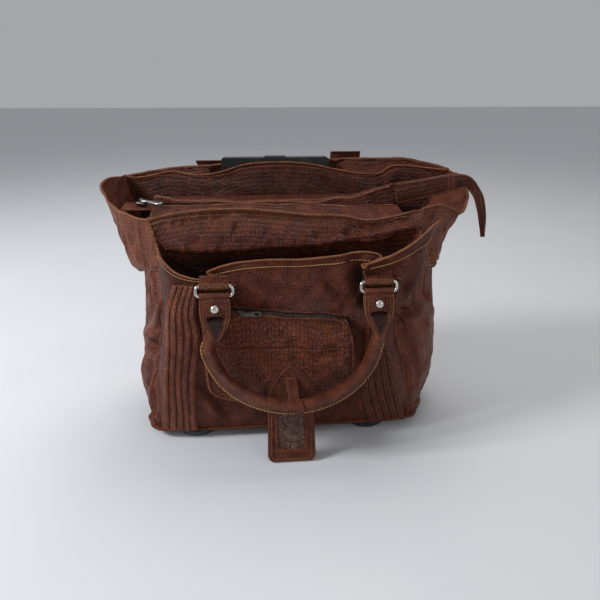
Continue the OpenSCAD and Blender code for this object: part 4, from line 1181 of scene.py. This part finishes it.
FRONT_FLAP = [
    [(-160, -54, 304.5), (-110, -54, 305), (-50, -54, 305), (0, -54, 305), (60, -54, 303), (110, -54, 298),
     (160, -53, 300)],
    [(-161, -38, 302), (-110, -38, 300), (-50, -38, 301), (0, -38, 300), (60, -38, 299), (110, -38, 297),
     (161, -38, 300)],
    [(-162, -20, 304), (-110, -20, 302), (-50, -20, 303), (0, -20, 302), (60, -20, 301), (110, -20, 299),
     (162, -20, 301)],
    [(-162, -5, 306), (-110, -4, 305.5), (-50, -4, 306), (0, -3, 305), (60, -3, 304), (110, -4, 301),
     (162, -4, 303)],
    [(-162, -1, 306.5), (-110, 0.5, 306), (-50, 1, 306.5), (0, 1, 305.5), (60, 1, 304), (110, 0, 301),
     (162, 0, 303)]]
REAR_FLAP = [
    [(-160, 65, 304.5), (-110, 65, 305), (-50, 65, 305), (0, 65, 305), (60, 65, 305), (110, 65, 305),
     (160, 65, 306)],
    [(-161, 46, 305), (-110, 46, 303), (-50, 46, 302), (0, 46, 302), (60, 46, 303), (110, 46, 304),
     (161, 46, 308)],
    [(-162, 28, 311), (-110, 28, 307), (-50, 28, 305), (0, 28, 305), (60, 28, 305), (110, 28, 309),
     (162, 28, 319)],
    [(-162, 15, 315), (-110, 14, 310), (-50, 14, 308), (0, 14, 308), (60, 14, 308), (110, 14, 315),
     (162, 14, 328)],
    [(-162, 9, 315), (-110, 8.5, 310), (-50, 8.5, 307.5), (0, 8.5, 307.5), (60, 8.5, 307),
     (110, 8.5, 313.5), (162, 12, 327)],
    [(-162, 8, 309), (-110, 7.5, 307), (-50, 7.5, 306), (0, 7.5, 306), (60, 7.5, 303), (110, 7.5, 300),
     (162, 10, 301)]]


ZIP_Y, TOOTH_PITCH = 4, 2.6


def make_flaps():
    for side, rows, rim_row, lift, seams in (("front", FRONT_FLAP, -1, -0.4, (5, 9)),
                                             ("rear", REAR_FLAP, -10, 0.4, (15, 19))):
        name = side + "_flap_leather"
        grid = surface(rows, 130, 44)
        out = facing(grid, (0, 0, 1), (20, 60))
        u, v = lengths(grid)
        push = waves(u, v, 48, 8, len(name)) * 1.3 + waves(u, v, 18, 8, len(name) + 3) * 0.4
        fade = soft_step(np.minimum(np.arange(44), np.arange(44)[::-1]), 0, 7)[:, None]
        grid[..., 2] += push * fade
        build = Build()
        build.sheet(grid, 1.9, out=out, inner_slot=2)
        rim_roll(build, grid[rim_row][::6] + np.array([0, lift, -0.3]), 1.3, 0.75, up=(0, 0, 1))
        for step in seams:
            stitched(build, grid[-step][::8] + np.array([0, 0, 0.5]), (0, 0, 1), every=4.2)
        build.make(name, side + "_flap", SKIN, [side + "_zip_flap"])
    for way, side in ((-1, "front"), (1, "rear")):
        node = side + "_zip_tape"
        edge = spline(FRONT_FLAP[-1], 160) + np.array([0, 0.0, -2.4])
        tape = np.stack([np.stack([edge[:, 0], np.full(160, ZIP_Y + mix(way * 0.9, way * 11, t)), edge[:, 2]],
                                  axis=1)
                         for t in np.linspace(0, 1, 5)])
        build = Build()
        build.sheet(tape, 0.9, out=facing(tape, (0, 0, 1)))
        near, far = sorted((-way * 0.8, way * 2.2))
        for x in np.arange(-158, 158, TOOTH_PITCH) + (TOOTH_PITCH / 2 if way > 0 else 0):
            z = float(np.interp(x, edge[:, 0], edge[:, 2]))
            build.block((x - 0.95, ZIP_Y + near, z - 0.9), (x + 0.95, ZIP_Y + far, z + 1.1), 0.35, slot=1,
                        steps=1)
        build.make(node + "_teeth", side + "_flap", [TAPE, GUNMETAL], [node])


make_flaps()


PULL_TURN = -35


def make_main_slider():
    turn = math.radians(PULL_TURN)
    along = np.array([math.cos(turn), math.sin(turn), 0])
    across = np.array([-math.sin(turn), math.cos(turn), 0])
    low, high = cad_box("main_zip_slider")
    base = np.array([(low[0] + high[0]) / 2, (low[1] + high[1]) / 2, low[2]])
    build = Build()
    zip_slider(build, base, along, across, (0, 0, 1), 1.15)
    build.make("main_slider_body", "main_slider", [GUNMETAL], ["main_zip_slider"])
    build = Build()
    flat_pull(build, base + along * 0.8 + np.array([0, 0, 6.4]), along, across, (0, 0, 1), 36, 10.5,
              thick=1.8)
    build.make("main_pull_tag", "main_pull", [NICKEL], ["main_zip_pull"])


make_main_slider()


def make_start_tab():
    grid = surface([[(-202, -9, 306), (-190, -11, 306), (-176, -10, 305.6), (-163.5, -8, 305)],
                    [(-204, 4, 306), (-190, 4, 306.4), (-176, 4, 306), (-163.5, 4, 305)],
                    [(-202, 17, 308), (-190, 19, 308), (-176, 18, 307), (-163.5, 17, 306)]], 30, 20)
    grid[..., 2] -= 0.9
    build = Build()
    build.sheet(grid, 1.8, out=facing(grid, (0, 0, 1)))
    edge = np.concatenate([grid[2, 2:-3:3], grid[3:-3:3, -3], grid[-3, 2:-3:3][::-1], grid[3:-3:3, 2][::-1]])
    stitches(build, spline(edge, 90) + np.array([0, 0, 0.2]), out=(0, 0, 1), slot=1)
    build.make("zip_start_leather", "bag", [HANDLE, THREAD], ["zip_start_tab"])


make_start_tab()


def make_zip_tail():
    """The closed end of the zip: a strap standing on edge across the right wing, then hanging outside."""
    centre = [(163, 13, 314.5), (180, 14, 317), (196, 15, 319.5), (218, 16, 323.5), (240, 17, 327),
              (256, 19, 329.5), (270, 21, 326), (281, 22, 314), (290, 22, 298), (297, 22, 276),
              (302, 22, 248)]
    width = [28, 28, 27, 25.5, 24, 19, 14, 13, 13, 11, 6]
    path = spline(centre, 90)
    wide = spline(np.array(width)[:, None], 90)[:, 0]
    t = np.gradient(path, axis=0)
    t /= np.linalg.norm(t, axis=1, keepdims=True)
    across = np.stack([-t[:, 2], np.zeros(90), t[:, 0]], axis=1)
    v = np.linspace(-0.5, 0.5, 15)
    build = Build()
    for shift, seed in ((-2.6, 91), (2.4, 93)):
        grid = path[None] + across[None] * (wide[None] * v[:, None])[..., None]
        run = np.cumsum(np.linalg.norm(np.gradient(path, axis=0), axis=1))[None] + 0 * v[:, None]
        belly = (0.25 - v[:, None] ** 2) * 4
        grid[..., 1] += shift * (0.35 + 0.65 * belly) + waves(run, v[:, None] * 22, 30, 6, seed) * 0.8 + \
            1.6 * np.sin((run - 100) / 9) * bump_at(run, 118, 26)
        way = np.array([0, np.sign(shift), 0])
        wear_light_and_shade = 0.3 * soft_step(np.abs(v)[:, None], 0.38, 0.5) - 0.9 * bump_at(run, 92, 5) * (v[:, None] < 0.2)
        build.sheet(grid, 1.7, wear_light_and_shade=wear_light_and_shade, out=facing(grid, way, (7, 40)), inner_slot=2)
        for row in (1, 13):
            stitched(build, grid[row][::6] + 0.3 * way, way)
    for col in (34, 37):
        line = path[col] + across[col] * wide[col] * np.linspace(-0.42, 0.42, 8)[:, None]
        line = line + np.array([0, -4.2, 0])
        stitched(build, line, (0, -1, 0), every=4)
    build.make("zip_tail_leather", "zip_end", SKIN, ["zip_tail"])


make_zip_tail()


# ---- Carry handles ------------------------------------------------------------------------------------

def make_handle(side):
    front = side == "front"
    axis, lean, shift = (FRONT_AXIS, FRONT_LEAN, FRONT_SHIFT) if front else (REAR_AXIS, REAR_LEAN, REAR_SHIFT)
    put = lambda p: hang(p, axis, lean, not front)
    half = RING_PITCH / 2
    body = side + "_handle"
    # the rolled part: two legs from under the tabs and the arch between them, with a sewn fin outside
    centre = [(-half, 1.5, -46), (-half - 2, 1, -56)] + roll_path(shift) + [(half + 2, 1, -56),
                                                                            (half, 1.5, -46)]
    path = spline(centre, 150)
    run = np.linspace(0, 1, 150)
    t = np.gradient(path, axis=0)
    t /= np.linalg.norm(t, axis=1, keepdims=True)
    away = np.stack([t[:, 2], np.zeros(150), -t[:, 0]], axis=1)
    middle = np.array([shift, 0, -63.0])
    away *= np.sign(np.sum(away * (path - middle), axis=1))[:, None]
    a = np.linspace(0, 2 * math.pi, 40, endpoint=False)
    from_fin = np.minimum(a, 2 * math.pi - a)
    # a little oval, with a ridge where the leather's two edges are sewn together on the outer side
    fin = bump_at(from_fin, 0, 0.24)
    swell = 1 + 0.05 * waves(run * 400, 0 * run, 45, 5, 5)
    r_out = (ROLL_R * 0.93 * swell[:, None] + 2.3 * fin[None, :])
    r_flat = ROLL_R * 0.98 * swell[:, None]
    dent = waves(run[:, None] * 420, a[None, :] * 8.5, 16, 8, 6) * 0.28
    ring = path[:, None] + away[:, None] * ((r_out + dent) * np.cos(a))[..., None] + \
        np.array([0, 1, 0]) * ((r_flat + dent) * np.sin(a))[..., None]
    wear_light_and_shade = 0.8 * bump_at(from_fin, 0, 0.36)[None, :] * (0.45 + 0.55 * bump_at(run[:, None], 0.42, 0.3))
    wear_light_and_shade = wear_light_and_shade + 0.12 * soft_step(-np.sin(a), 0.6, 1)[None, :]
    grain = np.stack(np.broadcast_arrays(run[:, None] * 420, a[None, :] * 8.5), axis=2)
    build = Build()
    build.cap(build.grid(put(ring), grain, wear_light_and_shade, wrap=True))
    for y in (-3.4, 3.4):
        line = path[10:-10] + away[10:-10] * 9.2 + np.array([0, y, 0])
        out = away[len(away) // 2]
        stitches(build, put(line), out=put(out) - put(np.zeros(3)), every=4.6, long=3.1, thick=0.52, slot=1)
    build.make(side + "_handle_rolled", body, [HANDLE, GOLD], [side + "_handle_roll"])
    make_tabs(side, put, body, half)
    make_rings(side, put, body, half)


def make_tabs(side, put, body, half):
    build = Build()
    for s in (-1, 1):
        nu, nv = 44, 70
        u = np.linspace(-1, 1, nu)[None, :]
        v = np.linspace(0, 1, nv)[:, None]
        # front leaf: over the ring's lower bar, past the rivet, then round the roll, open below the rivet
        z = mix(-12, -66, v)
        w = np.interp(v[:, 0], [0, 0.3, 0.5, 0.7, 0.86, 1.0], [17, 18, 17.4, 13.6, 7.6, 0.9])
        w = np.convolve(np.pad(w, 4, mode="edge"), np.ones(9) / 9, mode="valid")[:, None]
        x = s * half + u * w
        wrap = soft_step(v, 0.42, 0.9)
        y = -5.2 - 4.8 * wrap + (u ** 2) * (1.2 + 3.2 * wrap) * (w / 18) * 1.2
        mouth = mix(0.60, 0.34, soft_step(v, 0.5, 0.95)) * soft_step(v, 0.4, 0.5)
        hole = soft_step(mouth - np.abs(u), -0.1, 0.12) * soft_step(1 - v, 0.02, 0.12) * soft_step(v, 0.42,
                                                                                                   0.48)
        y = y + mix(4, 0.3, soft_step(v, 0.48, 0.6)) * hole + waves(x, z + 0 * u, 14, 6, 8 + s) * 0.3
        y = y + 2.6 * bump_at(v, 0, 0.07)
        grid = put(np.stack(np.broadcast_arrays(x, y, z), axis=2))
        shade = 0.6 * soft_step(np.abs(u), 0.9, 0.985) - 1.2 * soft_step(hole, 0.25, 0.6)
        front_way = put(np.array([0, -1, 0])) - put(np.zeros(3))
        build.sheet(grid, 2.0, wear_light_and_shade=shade, out=facing(grid, front_way, (10, 22)))
        for e in (1, -2):
            path = grid[3:-2:3, e]
            build.tube(path, 0.7, sides=6, wear_light_and_shade=0.8, up=(0, 1, 0))
            inset = grid[4:-8:4, 5 if e == 1 else nu - 6] + front_way * 0.25
            stitched(build, inset, front_way, every=4.2)
        # the fold round the ring's lower bar and the back leaf behind it
        bend = np.linspace(-0.35 * math.pi, 1.25 * math.pi, 22)
        fold = np.array([[[s * half + q * 17.5, -4.3 * math.cos(a), -12 + 4.3 * math.sin(a)]
                          for q in np.linspace(-1, 1, 20)]
                         for a in bend])
        grid = put(fold)
        middle = grid[10, 10] - put(np.array([s * half, 0, -12]))
        build.sheet(grid, 1.6, wear_light_and_shade=0.3 * bump_at(np.arange(22), 9, 4.0)[:, None],
                    out=facing(grid, middle, (10, 10)))
        back = np.array([[[s * half + q * wq, 4.4 - 1.4 * t, mix(-13, -64, t)]
                          for q in np.linspace(-1, 1, 20)]
                         for t, wq in ((0, 17.5), (0.25, 18), (0.5, 16), (0.75, 11), (1.0, 6.5))])
        grid = put(back)
        build.sheet(grid, 1.8, out=facing(grid, -front_way, (2, 10)))
    build.make(side + "_handle_tab_leather", body, [HANDLE, THREAD],
               [side + "_handle_tabs"])


def make_rings(side, put, body, half):
    build = Build()
    for s in (-1, 1):
        corner = 4.5
        path = []
        for cx, cz, a0 in ((22 - corner, -corner, 0), (-22 + corner, -corner, 90),
                           (-22 + corner, -12 + corner, 180),
                           (22 - corner, -12 + corner, 270)):
            for a in np.radians(np.linspace(a0, a0 + 90, 7)):
                path.append((s * half + cx + corner * math.cos(a), 0, cz + corner * math.sin(a)))
        build.tube(put(np.array(path)), 2.0, sides=14, closed=True,
                   up=put(np.array([0, 1, 0])) - put(np.zeros(3)))
    build.make(side + "_handle_rings", body, [NICKEL], [side + "_rings"])
    build = Build()
    profile = [(0.01, 2.35), (1.6, 2.2), (3.0, 1.7), (4.1, 1.0), (4.8, 0.35), (4.9, 0.0), (4.9, -1.2),
               (2.4, -1.3), (2.2, -6), (0.01, -6)]
    for s in (-1, 1):
        local = Build()
        local.turned(profile, (0, 0, 0), "y", 32)
        pts = local.points[0].reshape(len(profile), 32,
                                      3) * np.array([1, -1, 1]) + np.array([s * half, -6.6, -27])
        build.grid(put(pts), wrap=True)
    build.make(side + "_handle_rivets", body, [NICKEL], [side + "_rivets"])


make_handle("front")
make_handle("rear")


def make_ring_loops(side):
    """A strap end folded round each ring's upper bar and sewn to the panel."""
    front = side == "front"
    axis = FRONT_AXIS if front else REAR_AXIS
    build = Build()
    for s in (-1, 1):
        cx = axis[0] + s * RING_PITCH / 2
        r = 4.0
        down, up = (13, 10) if front else (26, 15 + 11 * (s > 0))
        wall = 8.6 if front else -8.4
        sign = 1 if front else -1
        line = [(wall + 0.4 * sign, up), (wall * 0.7, up - 3), (wall * 0.35, 6.2)]
        line += [(-sign * r * math.sin(a), r * math.cos(a)) for a in np.linspace(0.15, math.pi - 0.25, 9)]
        line += [(wall * 0.35, -5.4), (wall * 0.75, -8), (wall + 0.3 * sign, -down)]
        profile = spline(line, 44)
        flare = 0 if front else 5
        grid = np.array([[[cx + q * (17 + flare * soft_step(z, 4, 12)), axis[1] + y, axis[2] + z]
                          for q in np.linspace(-1, 1, 26)] for y, z in profile])
        grid[..., 1] += waves(grid[..., 0], grid[..., 2], 14, 6, 14 + s) * 0.3
        way = np.array([0, -1 if front else 1, 0])
        mid = 22
        wear_light_and_shade = 0.5 * bump_at(np.arange(44), mid, 7.0)[:, None]
        build.sheet(grid, 1.7, wear_light_and_shade=wear_light_and_shade, out=facing(grid, way, (mid, 13)))
        for row in (11, 34):
            stitched(build, grid[row, 2:-2:3] + way * 0.3, way, every=3.8)
    build.make(side + "_loop_leather", "bag", [CROC, THREAD if front else GOLD],
               [side + "_ring_loops"])


make_ring_loops("front")
make_ring_loops("rear")


# ---- Luggage tag ------------------------------------------------------------------------------------

TAG_FOOT, TAG_LEAN, TAG_TALL = (8, -152.5, 3), 14, 133
# half the window's width, and the heights of its lower and upper edges
WINDOW = (17, 16, 82)


def on_tag(x, depth, h):
    """Points given across, behind and up the tag, which leans out at its foot, to bag millimetres."""
    x, depth, h = np.broadcast_arrays(np.asarray(x, float), depth, h)
    a = math.radians(TAG_LEAN)
    curl = depth + 1.2 * np.sin(np.pi * h / TAG_TALL) - 0.0012 * x ** 2 * (h < TAG_TALL - 6)
    return np.stack([TAG_FOOT[0] + x, TAG_FOOT[1] + h * math.sin(a) + curl * math.cos(a),
                     TAG_FOOT[2] + h * math.cos(a) - curl * math.sin(a)], axis=-1)


def make_tag():
    top, (glass, sill, lintel) = TAG_TALL, WINDOW
    half_width = lambda h: np.interp(h, [0, 4, 8, top - 30, top - 14, top - 4, top],
                                     [25.5, 29, 29.8, 27, 16, 7.5, 3])
    us = np.linspace(-1, 1, 40)[None, :]
    forward = on_tag(0, -1, 30) - on_tag(0, 0, 30)

    def strip(low, high, count, depth, x_of):
        h = np.linspace(low, high, count)[:, None]
        x = x_of(us, h)
        return on_tag(x, depth + waves(x, h, 18, 6, 101) * 0.15, h)

    build = Build()
    full = lambda q, h: q * half_width(h)
    parts = [(strip(0.5, sill, 14, 0.4, full), 1), (strip(lintel, top - 0.5, 40, 0.4, full), 1),
             (strip(0.5, top - 0.5, 70, 3.6, full), -1)]
    for side in (-1, 1):
        parts.append((strip(sill, lintel, 40, 0.4, lambda q,
                            h: side * mix(glass, half_width(h), (q * side + 1) / 2)), 1))
    for g, way in parts:
        build.sheet(g, 1.5, out=facing(g, forward * way))
    hs = np.linspace(0.5, top - 0.5, 60)
    outline = np.concatenate([np.stack([-half_width(hs), hs], 1), np.stack([half_width(hs), hs], 1)[::-1]])
    build.tube(on_tag(outline[:, 0], 2.0, outline[:, 1]), 1.7, sides=8, closed=True, wear_light_and_shade=0.15, up=(0, 1, 0))
    inset = outline * (0.88, 0.95) + (0, 2.5)
    stitches(build, on_tag(np.append(inset[:, 0], inset[0, 0]), 0.1, np.append(inset[:, 1], inset[0, 1])),
             every=3.6, slot=1)
    g = glass + 2.4
    corners = [(-g, sill - 2.4), (-g, lintel + 2.4), (g, lintel + 2.4), (g, sill - 2.4), (-g, sill - 2.4)]
    for a, b in zip(corners[:-1], corners[1:]):
        line = np.linspace(a, b, 30)
        stitches(build, on_tag(line[:, 0], 0.1, line[:, 1]), every=3.6, slot=1)
    build.make("tag_leather", "luggage_tag", [HANDLE, THREAD], ["tag_body"])

    for name, material, slot_name, node, depth, thick, size, ripple in (
            ("tag_clear_window", FILM, "clear_film", "tag_window", 1.1, 0.3, glass + 1, 0.22),
            ("tag_name_card", CARD, "card", "tag_card", 2.7, 0.4, glass - 0.6, 0.0)):
        h = np.linspace(sill - (size - glass), lintel + (size - glass), 60)[:, None]
        x = us * size
        g = on_tag(x, depth + waves(x, h, 22, 7, 103) * ripple, h)
        build = Build()
        build.sheet(g, thick, out=facing(g, forward))
        build.make(name, "luggage_tag", [material], [node])

    # the strap: out of a slot in the tag's peak, over the rolled handle, round it and back up behind it
    centre = hang(np.array([[TAG_FOOT[0] - FRONT_AXIS[0], 0, -HANDLE_DROP]]), FRONT_AXIS, FRONT_LEAN,
                  False)[0]
    slot_at = on_tag(0, -1.4, 115)
    r = ROLL_R + 1.6
    line = [slot_at[1:], slot_at[1:] + (-5, -6)]
    line += [(centre[1] + r * math.cos(a), centre[2] + r * math.sin(a))
             for a in np.radians(np.linspace(75, 345, 15))]
    line += [on_tag(0, -1.6, 92)[1:], on_tag(0, -1.3, 104)[1:], on_tag(0, -1.1, 114)[1:]]
    profile = spline(line, 100)
    run = np.linspace(0, 1, 100)
    over = 9 * np.sin(np.pi * np.clip(run * 1.15, 0, 1))
    grid = np.array([[[TAG_FOOT[0] + q * 6.2 + o, y, z] for q in np.linspace(-1, 1, 14)] for (y, z),
                     o in zip(profile, over)])
    build = Build()
    outward = grid[45, 7] - np.array([grid[45, 7, 0], centre[1], centre[2]])
    build.sheet(grid, 1.3, wear_light_and_shade=0.4 * soft_step(np.abs(np.linspace(-1, 1, 14)), 0.8, 1)[None, :],
                out=facing(grid, outward, (45, 7)))
    build.make("tag_strap_leather", "luggage_tag", [HANDLE, THREAD], ["tag_strap"])


make_tag()


# ---- Underside and rolling gear --------------------------------------------------------------------

def softened(node, name, body, mat, width, segments=3, angle=35, longest=0):
    """The CAD shape with its edges rounded over, or with a length given only the longer ones."""
    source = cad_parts[node]
    mesh = source.data.copy()
    mesh.materials.clear()
    mesh.materials.append(mat)
    bm = bmesh.new()
    bm.from_mesh(mesh)
    bmesh.ops.remove_doubles(bm, verts=bm.verts, dist=0.00002)
    bmesh.ops.dissolve_limit(bm, angle_limit=math.radians(1.2), verts=bm.verts, edges=bm.edges)
    for face in bm.faces:
        face.smooth = True
    chosen = [edge.calc_length() > longest * MM and edge.calc_face_angle(0) > math.radians(angle)
              for edge in bm.edges]
    bm.to_mesh(mesh)
    bm.free()
    mesh.attributes.new("bevel_weight_edge", "FLOAT", "EDGE").data.foreach_set("value",
                                                                               [float(q) for q in chosen])
    obj = bpy.data.objects.new(name, mesh)
    bpy.context.scene.collection.objects.link(obj)
    bevel = obj.modifiers.new("Round", "BEVEL")
    bevel.width = width * MM
    bevel.segments = segments
    bevel.limit_method = "WEIGHT"
    bevel.use_clamp_overlap = True
    even = obj.modifiers.new("Even", "WEIGHTED_NORMAL")
    even.keep_sharp = False
    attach(obj, body)
    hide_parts(node)
    return obj


def make_base():
    """The welt round the foot and the leather under it, both let in round the two wheel housings."""
    left, right = spline(LEFT_GUSSET[-1], 60), spline(RIGHT_GUSSET[-1], 60)
    front = np.array([[x, float(wall_y(x, 14)), 14] for x in np.linspace(-166, 170, 24)])
    inner, outer, near, back = HOUSING_IN - 2, HOUSING_OUT + 2, HOUSING_FRONT - 2, 94
    build = Build()
    round_foot = [[(-outer, back - 1, 14)], left[::-1], front, right, [(outer, back - 1, 14)]]
    for path in (np.concatenate(round_foot),
                 spline([(-inner, back, 14), (0, back, 14), (inner, back, 14)], 40)):
        build.tube(path + np.array([0, 0, 0.5]), 2.6, sides=10, wear_light_and_shade=0.15)
    build.make("base_welt", "bag", [HANDLE])

    def notch(side):
        return np.array([(side * outer, near, 14), (side * inner, near, 14), (side * inner, back, 14)], float)

    ring = [front, right[right[:, 1] < near]]
    corners = np.concatenate([notch(1), notch(-1)[::-1]])
    ring += [np.linspace(a, b, 8) for a, b in zip(corners[:-1], corners[1:])]
    ring = np.concatenate(ring + [left[left[:, 1] < near][::-1]])
    centre = np.array([3.0, -20.0, 14.0])
    steps = np.linspace(1.0, 0.02, 16)
    grid = centre + (ring[None] - centre) * steps[:, None, None]
    sag = (1 - steps ** 2)[:, None]
    grid[..., 2] = 13.6 - 0.6 * sag + waves(grid[..., 0], grid[..., 1], 60, 6, 111) * 0.5 * sag
    build = Build()
    build.grid(grid, np.stack([grid[..., 0], grid[..., 1]], axis=2), wear_light_and_shade=-0.15, wrap=True)
    for side, foot in ((-1, left), (1, right)):
        edge = foot[foot[:, 1] >= near - 2]
        rest = np.stack([np.full(len(edge), side * outer), edge[:, 1], edge[:, 2]], axis=1)
        strip = np.stack([edge, edge * 0.5 + rest * 0.5, rest]) - (0, 0, 0.4)
        build.grid(strip, strip[..., :2], wear_light_and_shade=-0.15)
    build.make("base_leather", "bag", [CROC_PLAIN], ["bottom_panel"])


def make_housing_rims():
    """The moulded rim round each housing's rear slot, and three shallow ribs over it."""
    build = Build()
    for mid in (-WHEEL_X, WHEEL_X):
        turns = np.linspace(0, 2 * np.pi, 64, endpoint=False)
        bow = lambda q: np.sign(q) * np.abs(q) ** 0.3
        path = np.stack([mid + 14.5 * bow(np.cos(turns)), np.full(64, HOUSING_BACK + 0.2),
                         25 + 14.5 * bow(np.sin(turns))], 1)
        build.tube(path, 1.8, sides=8, closed=True, up=(0, 1, 0))
        for z in (44, 48, 52):
            build.block((mid - 16, HOUSING_BACK - 1, z - 1), (mid + 16, HOUSING_BACK + 1, z + 1), 0.9)
    build.make("wheel_housing_rims", "bag", [BLACK])


# The wheel housings, in bag millimetres: middle, near and far faces across, front and back
WHEEL_X, HOUSING_IN, HOUSING_OUT, HOUSING_FRONT, HOUSING_BACK = 144, 121, 167, 35, 99
make_base()
make_housing_rims()
softened("wheel_housings", "wheel_housing_mouldings", "bag", BLACK, 5, 4, 35, 24)
softened("base_board", "base_board_sheet", "bag", BOARD, 0.6, 2)
softened("trolley_bezel", "trolley_bezel_moulding", "bag", BLACK, 1.4)
softened("grip_base", "grip_lower_half", "stage_two", BLACK, 1.0)
softened("grip_shell", "grip_upper_half", "stage_two", BLACK, 3.0, 4)
softened("push_button", "push_button_cap", "grip_button", BUTTON, 1.4)


def make_feet():
    """Domed feet with a moulded rim, a flat wearing face and a screw recess."""
    low, high = cad_box("front_feet")
    r = (high[1] - low[1]) / 2
    y = (high[1] + low[1]) / 2
    build = Build()
    profile = [(0.01, 3.0), (4.6, 3.0), (5.0, 0.5), (5.6, 0.05), (22, 0.0), (27, 0.1), (29.4, 0.5),
               (31.2, 1.6), (32.4, 3.4),
               (33.2, 6.5), (r - 0.2, 11.2), (r, 12.0), (r - 0.8, 12.8), (0.01, 12.8)]
    for x in (low[0] + r, high[0] - r):
        build.turned(spline(profile, 70).tolist(), (x, y, 0), "z", 72)
    build.make("front_foot_domes", "bag", [BLACK], ["front_feet"])


make_feet()

KEPT = {
    "back_board": BOARD, "wheel_axles": ZINC, "base_screws": ZINC, "fixed_tubes": TUBE, "middle_tubes": TUBE,
    "inner_tubes": TUBE, "trolley_bracket": BLACK, "lock_plugs": BLACK, "push_rods": ZINC,
        "button_spring": ZINC,
    "latch_pins": ZINC, "left_tyre": RUBBER, "right_tyre": RUBBER, "left_hub": HUB, "right_hub": HUB}
for node, mat in KEPT.items():
    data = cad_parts[node].data
    data.materials.clear()
    data.materials.append(mat)
    data.polygons.foreach_set("material_index", [0] * len(data.polygons))


# ---- Floor, light and camera ---------------------------------------------------------------------------

FLOOR_HALF = 12.0
SKY, SKY_STRENGTH = (0.88, 0.9, 0.93, 1), 0.42
LENS, SENSOR = 27.6, 36
# the camera looks a little down at the bag's front from close by, and slightly to the right
EYE, TILT, PAN = (-0.017, -0.612, 0.447), 65.25, -4.4


def make_floor():
    p = Paint("studio_floor")
    grainy = p.noise(p.place(), 6, 3)
    p.set(Base_Color=p.blend(grainy, (0.62, 0.64, 0.67, 1), (0.67, 0.68, 0.70, 1)), Roughness=0.55)
    mesh = bpy.data.meshes.new("studio_floor")
    s = FLOOR_HALF
    mesh.from_pydata([(-s, -s, 0), (s, -s, 0), (s, s, 0), (-s, s, 0)], [], [(0, 1, 2, 3)])
    mesh.materials.append(p.mat)
    floor = bpy.data.objects.new("studio_floor", mesh)
    bpy.context.scene.collection.objects.link(floor)


def area_light(name, at, target, power, size, colour):
    """A square lamp facing a target: power in watts, size in metres."""
    data = bpy.data.lights.new(name, "AREA")
    data.energy = power
    data.size = size
    data.color = colour
    lamp = bpy.data.objects.new(name, data)
    lamp.location = at
    lamp.rotation_euler = (Vector(target) - Vector(at)).to_track_quat("-Z", "Y").to_euler()
    bpy.context.scene.collection.objects.link(lamp)


make_floor()
area_light("key", (-1.6, -0.3, 1.3), (0, 0, 0.15), 31, 0.45, (0.95, 0.97, 1.0))
area_light("fill", (1.3, -1.4, 0.9), (0, 0, 0.2), 4, 1.2, (1.0, 0.93, 0.84))
area_light("top", (0.2, 0.8, 1.9), (0, 0, 0.2), 13, 1.0, (1.0, 0.97, 0.93))
world = bpy.data.worlds.new("studio")
world.use_nodes = True
world.node_tree.nodes["Background"].inputs[0].default_value = SKY
world.node_tree.nodes["Background"].inputs[1].default_value = SKY_STRENGTH
bpy.context.scene.world = world
bpy.context.scene.view_settings.view_transform = "Standard"

camera_data = bpy.data.cameras.new("camera")
camera_data.lens = LENS
camera_data.sensor_width = SENSOR
camera = bpy.data.objects.new("camera", camera_data)
camera.location = OFFSET + EYE
camera.rotation_euler = (math.radians(TILT), 0, math.radians(PAN))
bpy.context.scene.collection.objects.link(camera)
bpy.context.scene.camera = camera
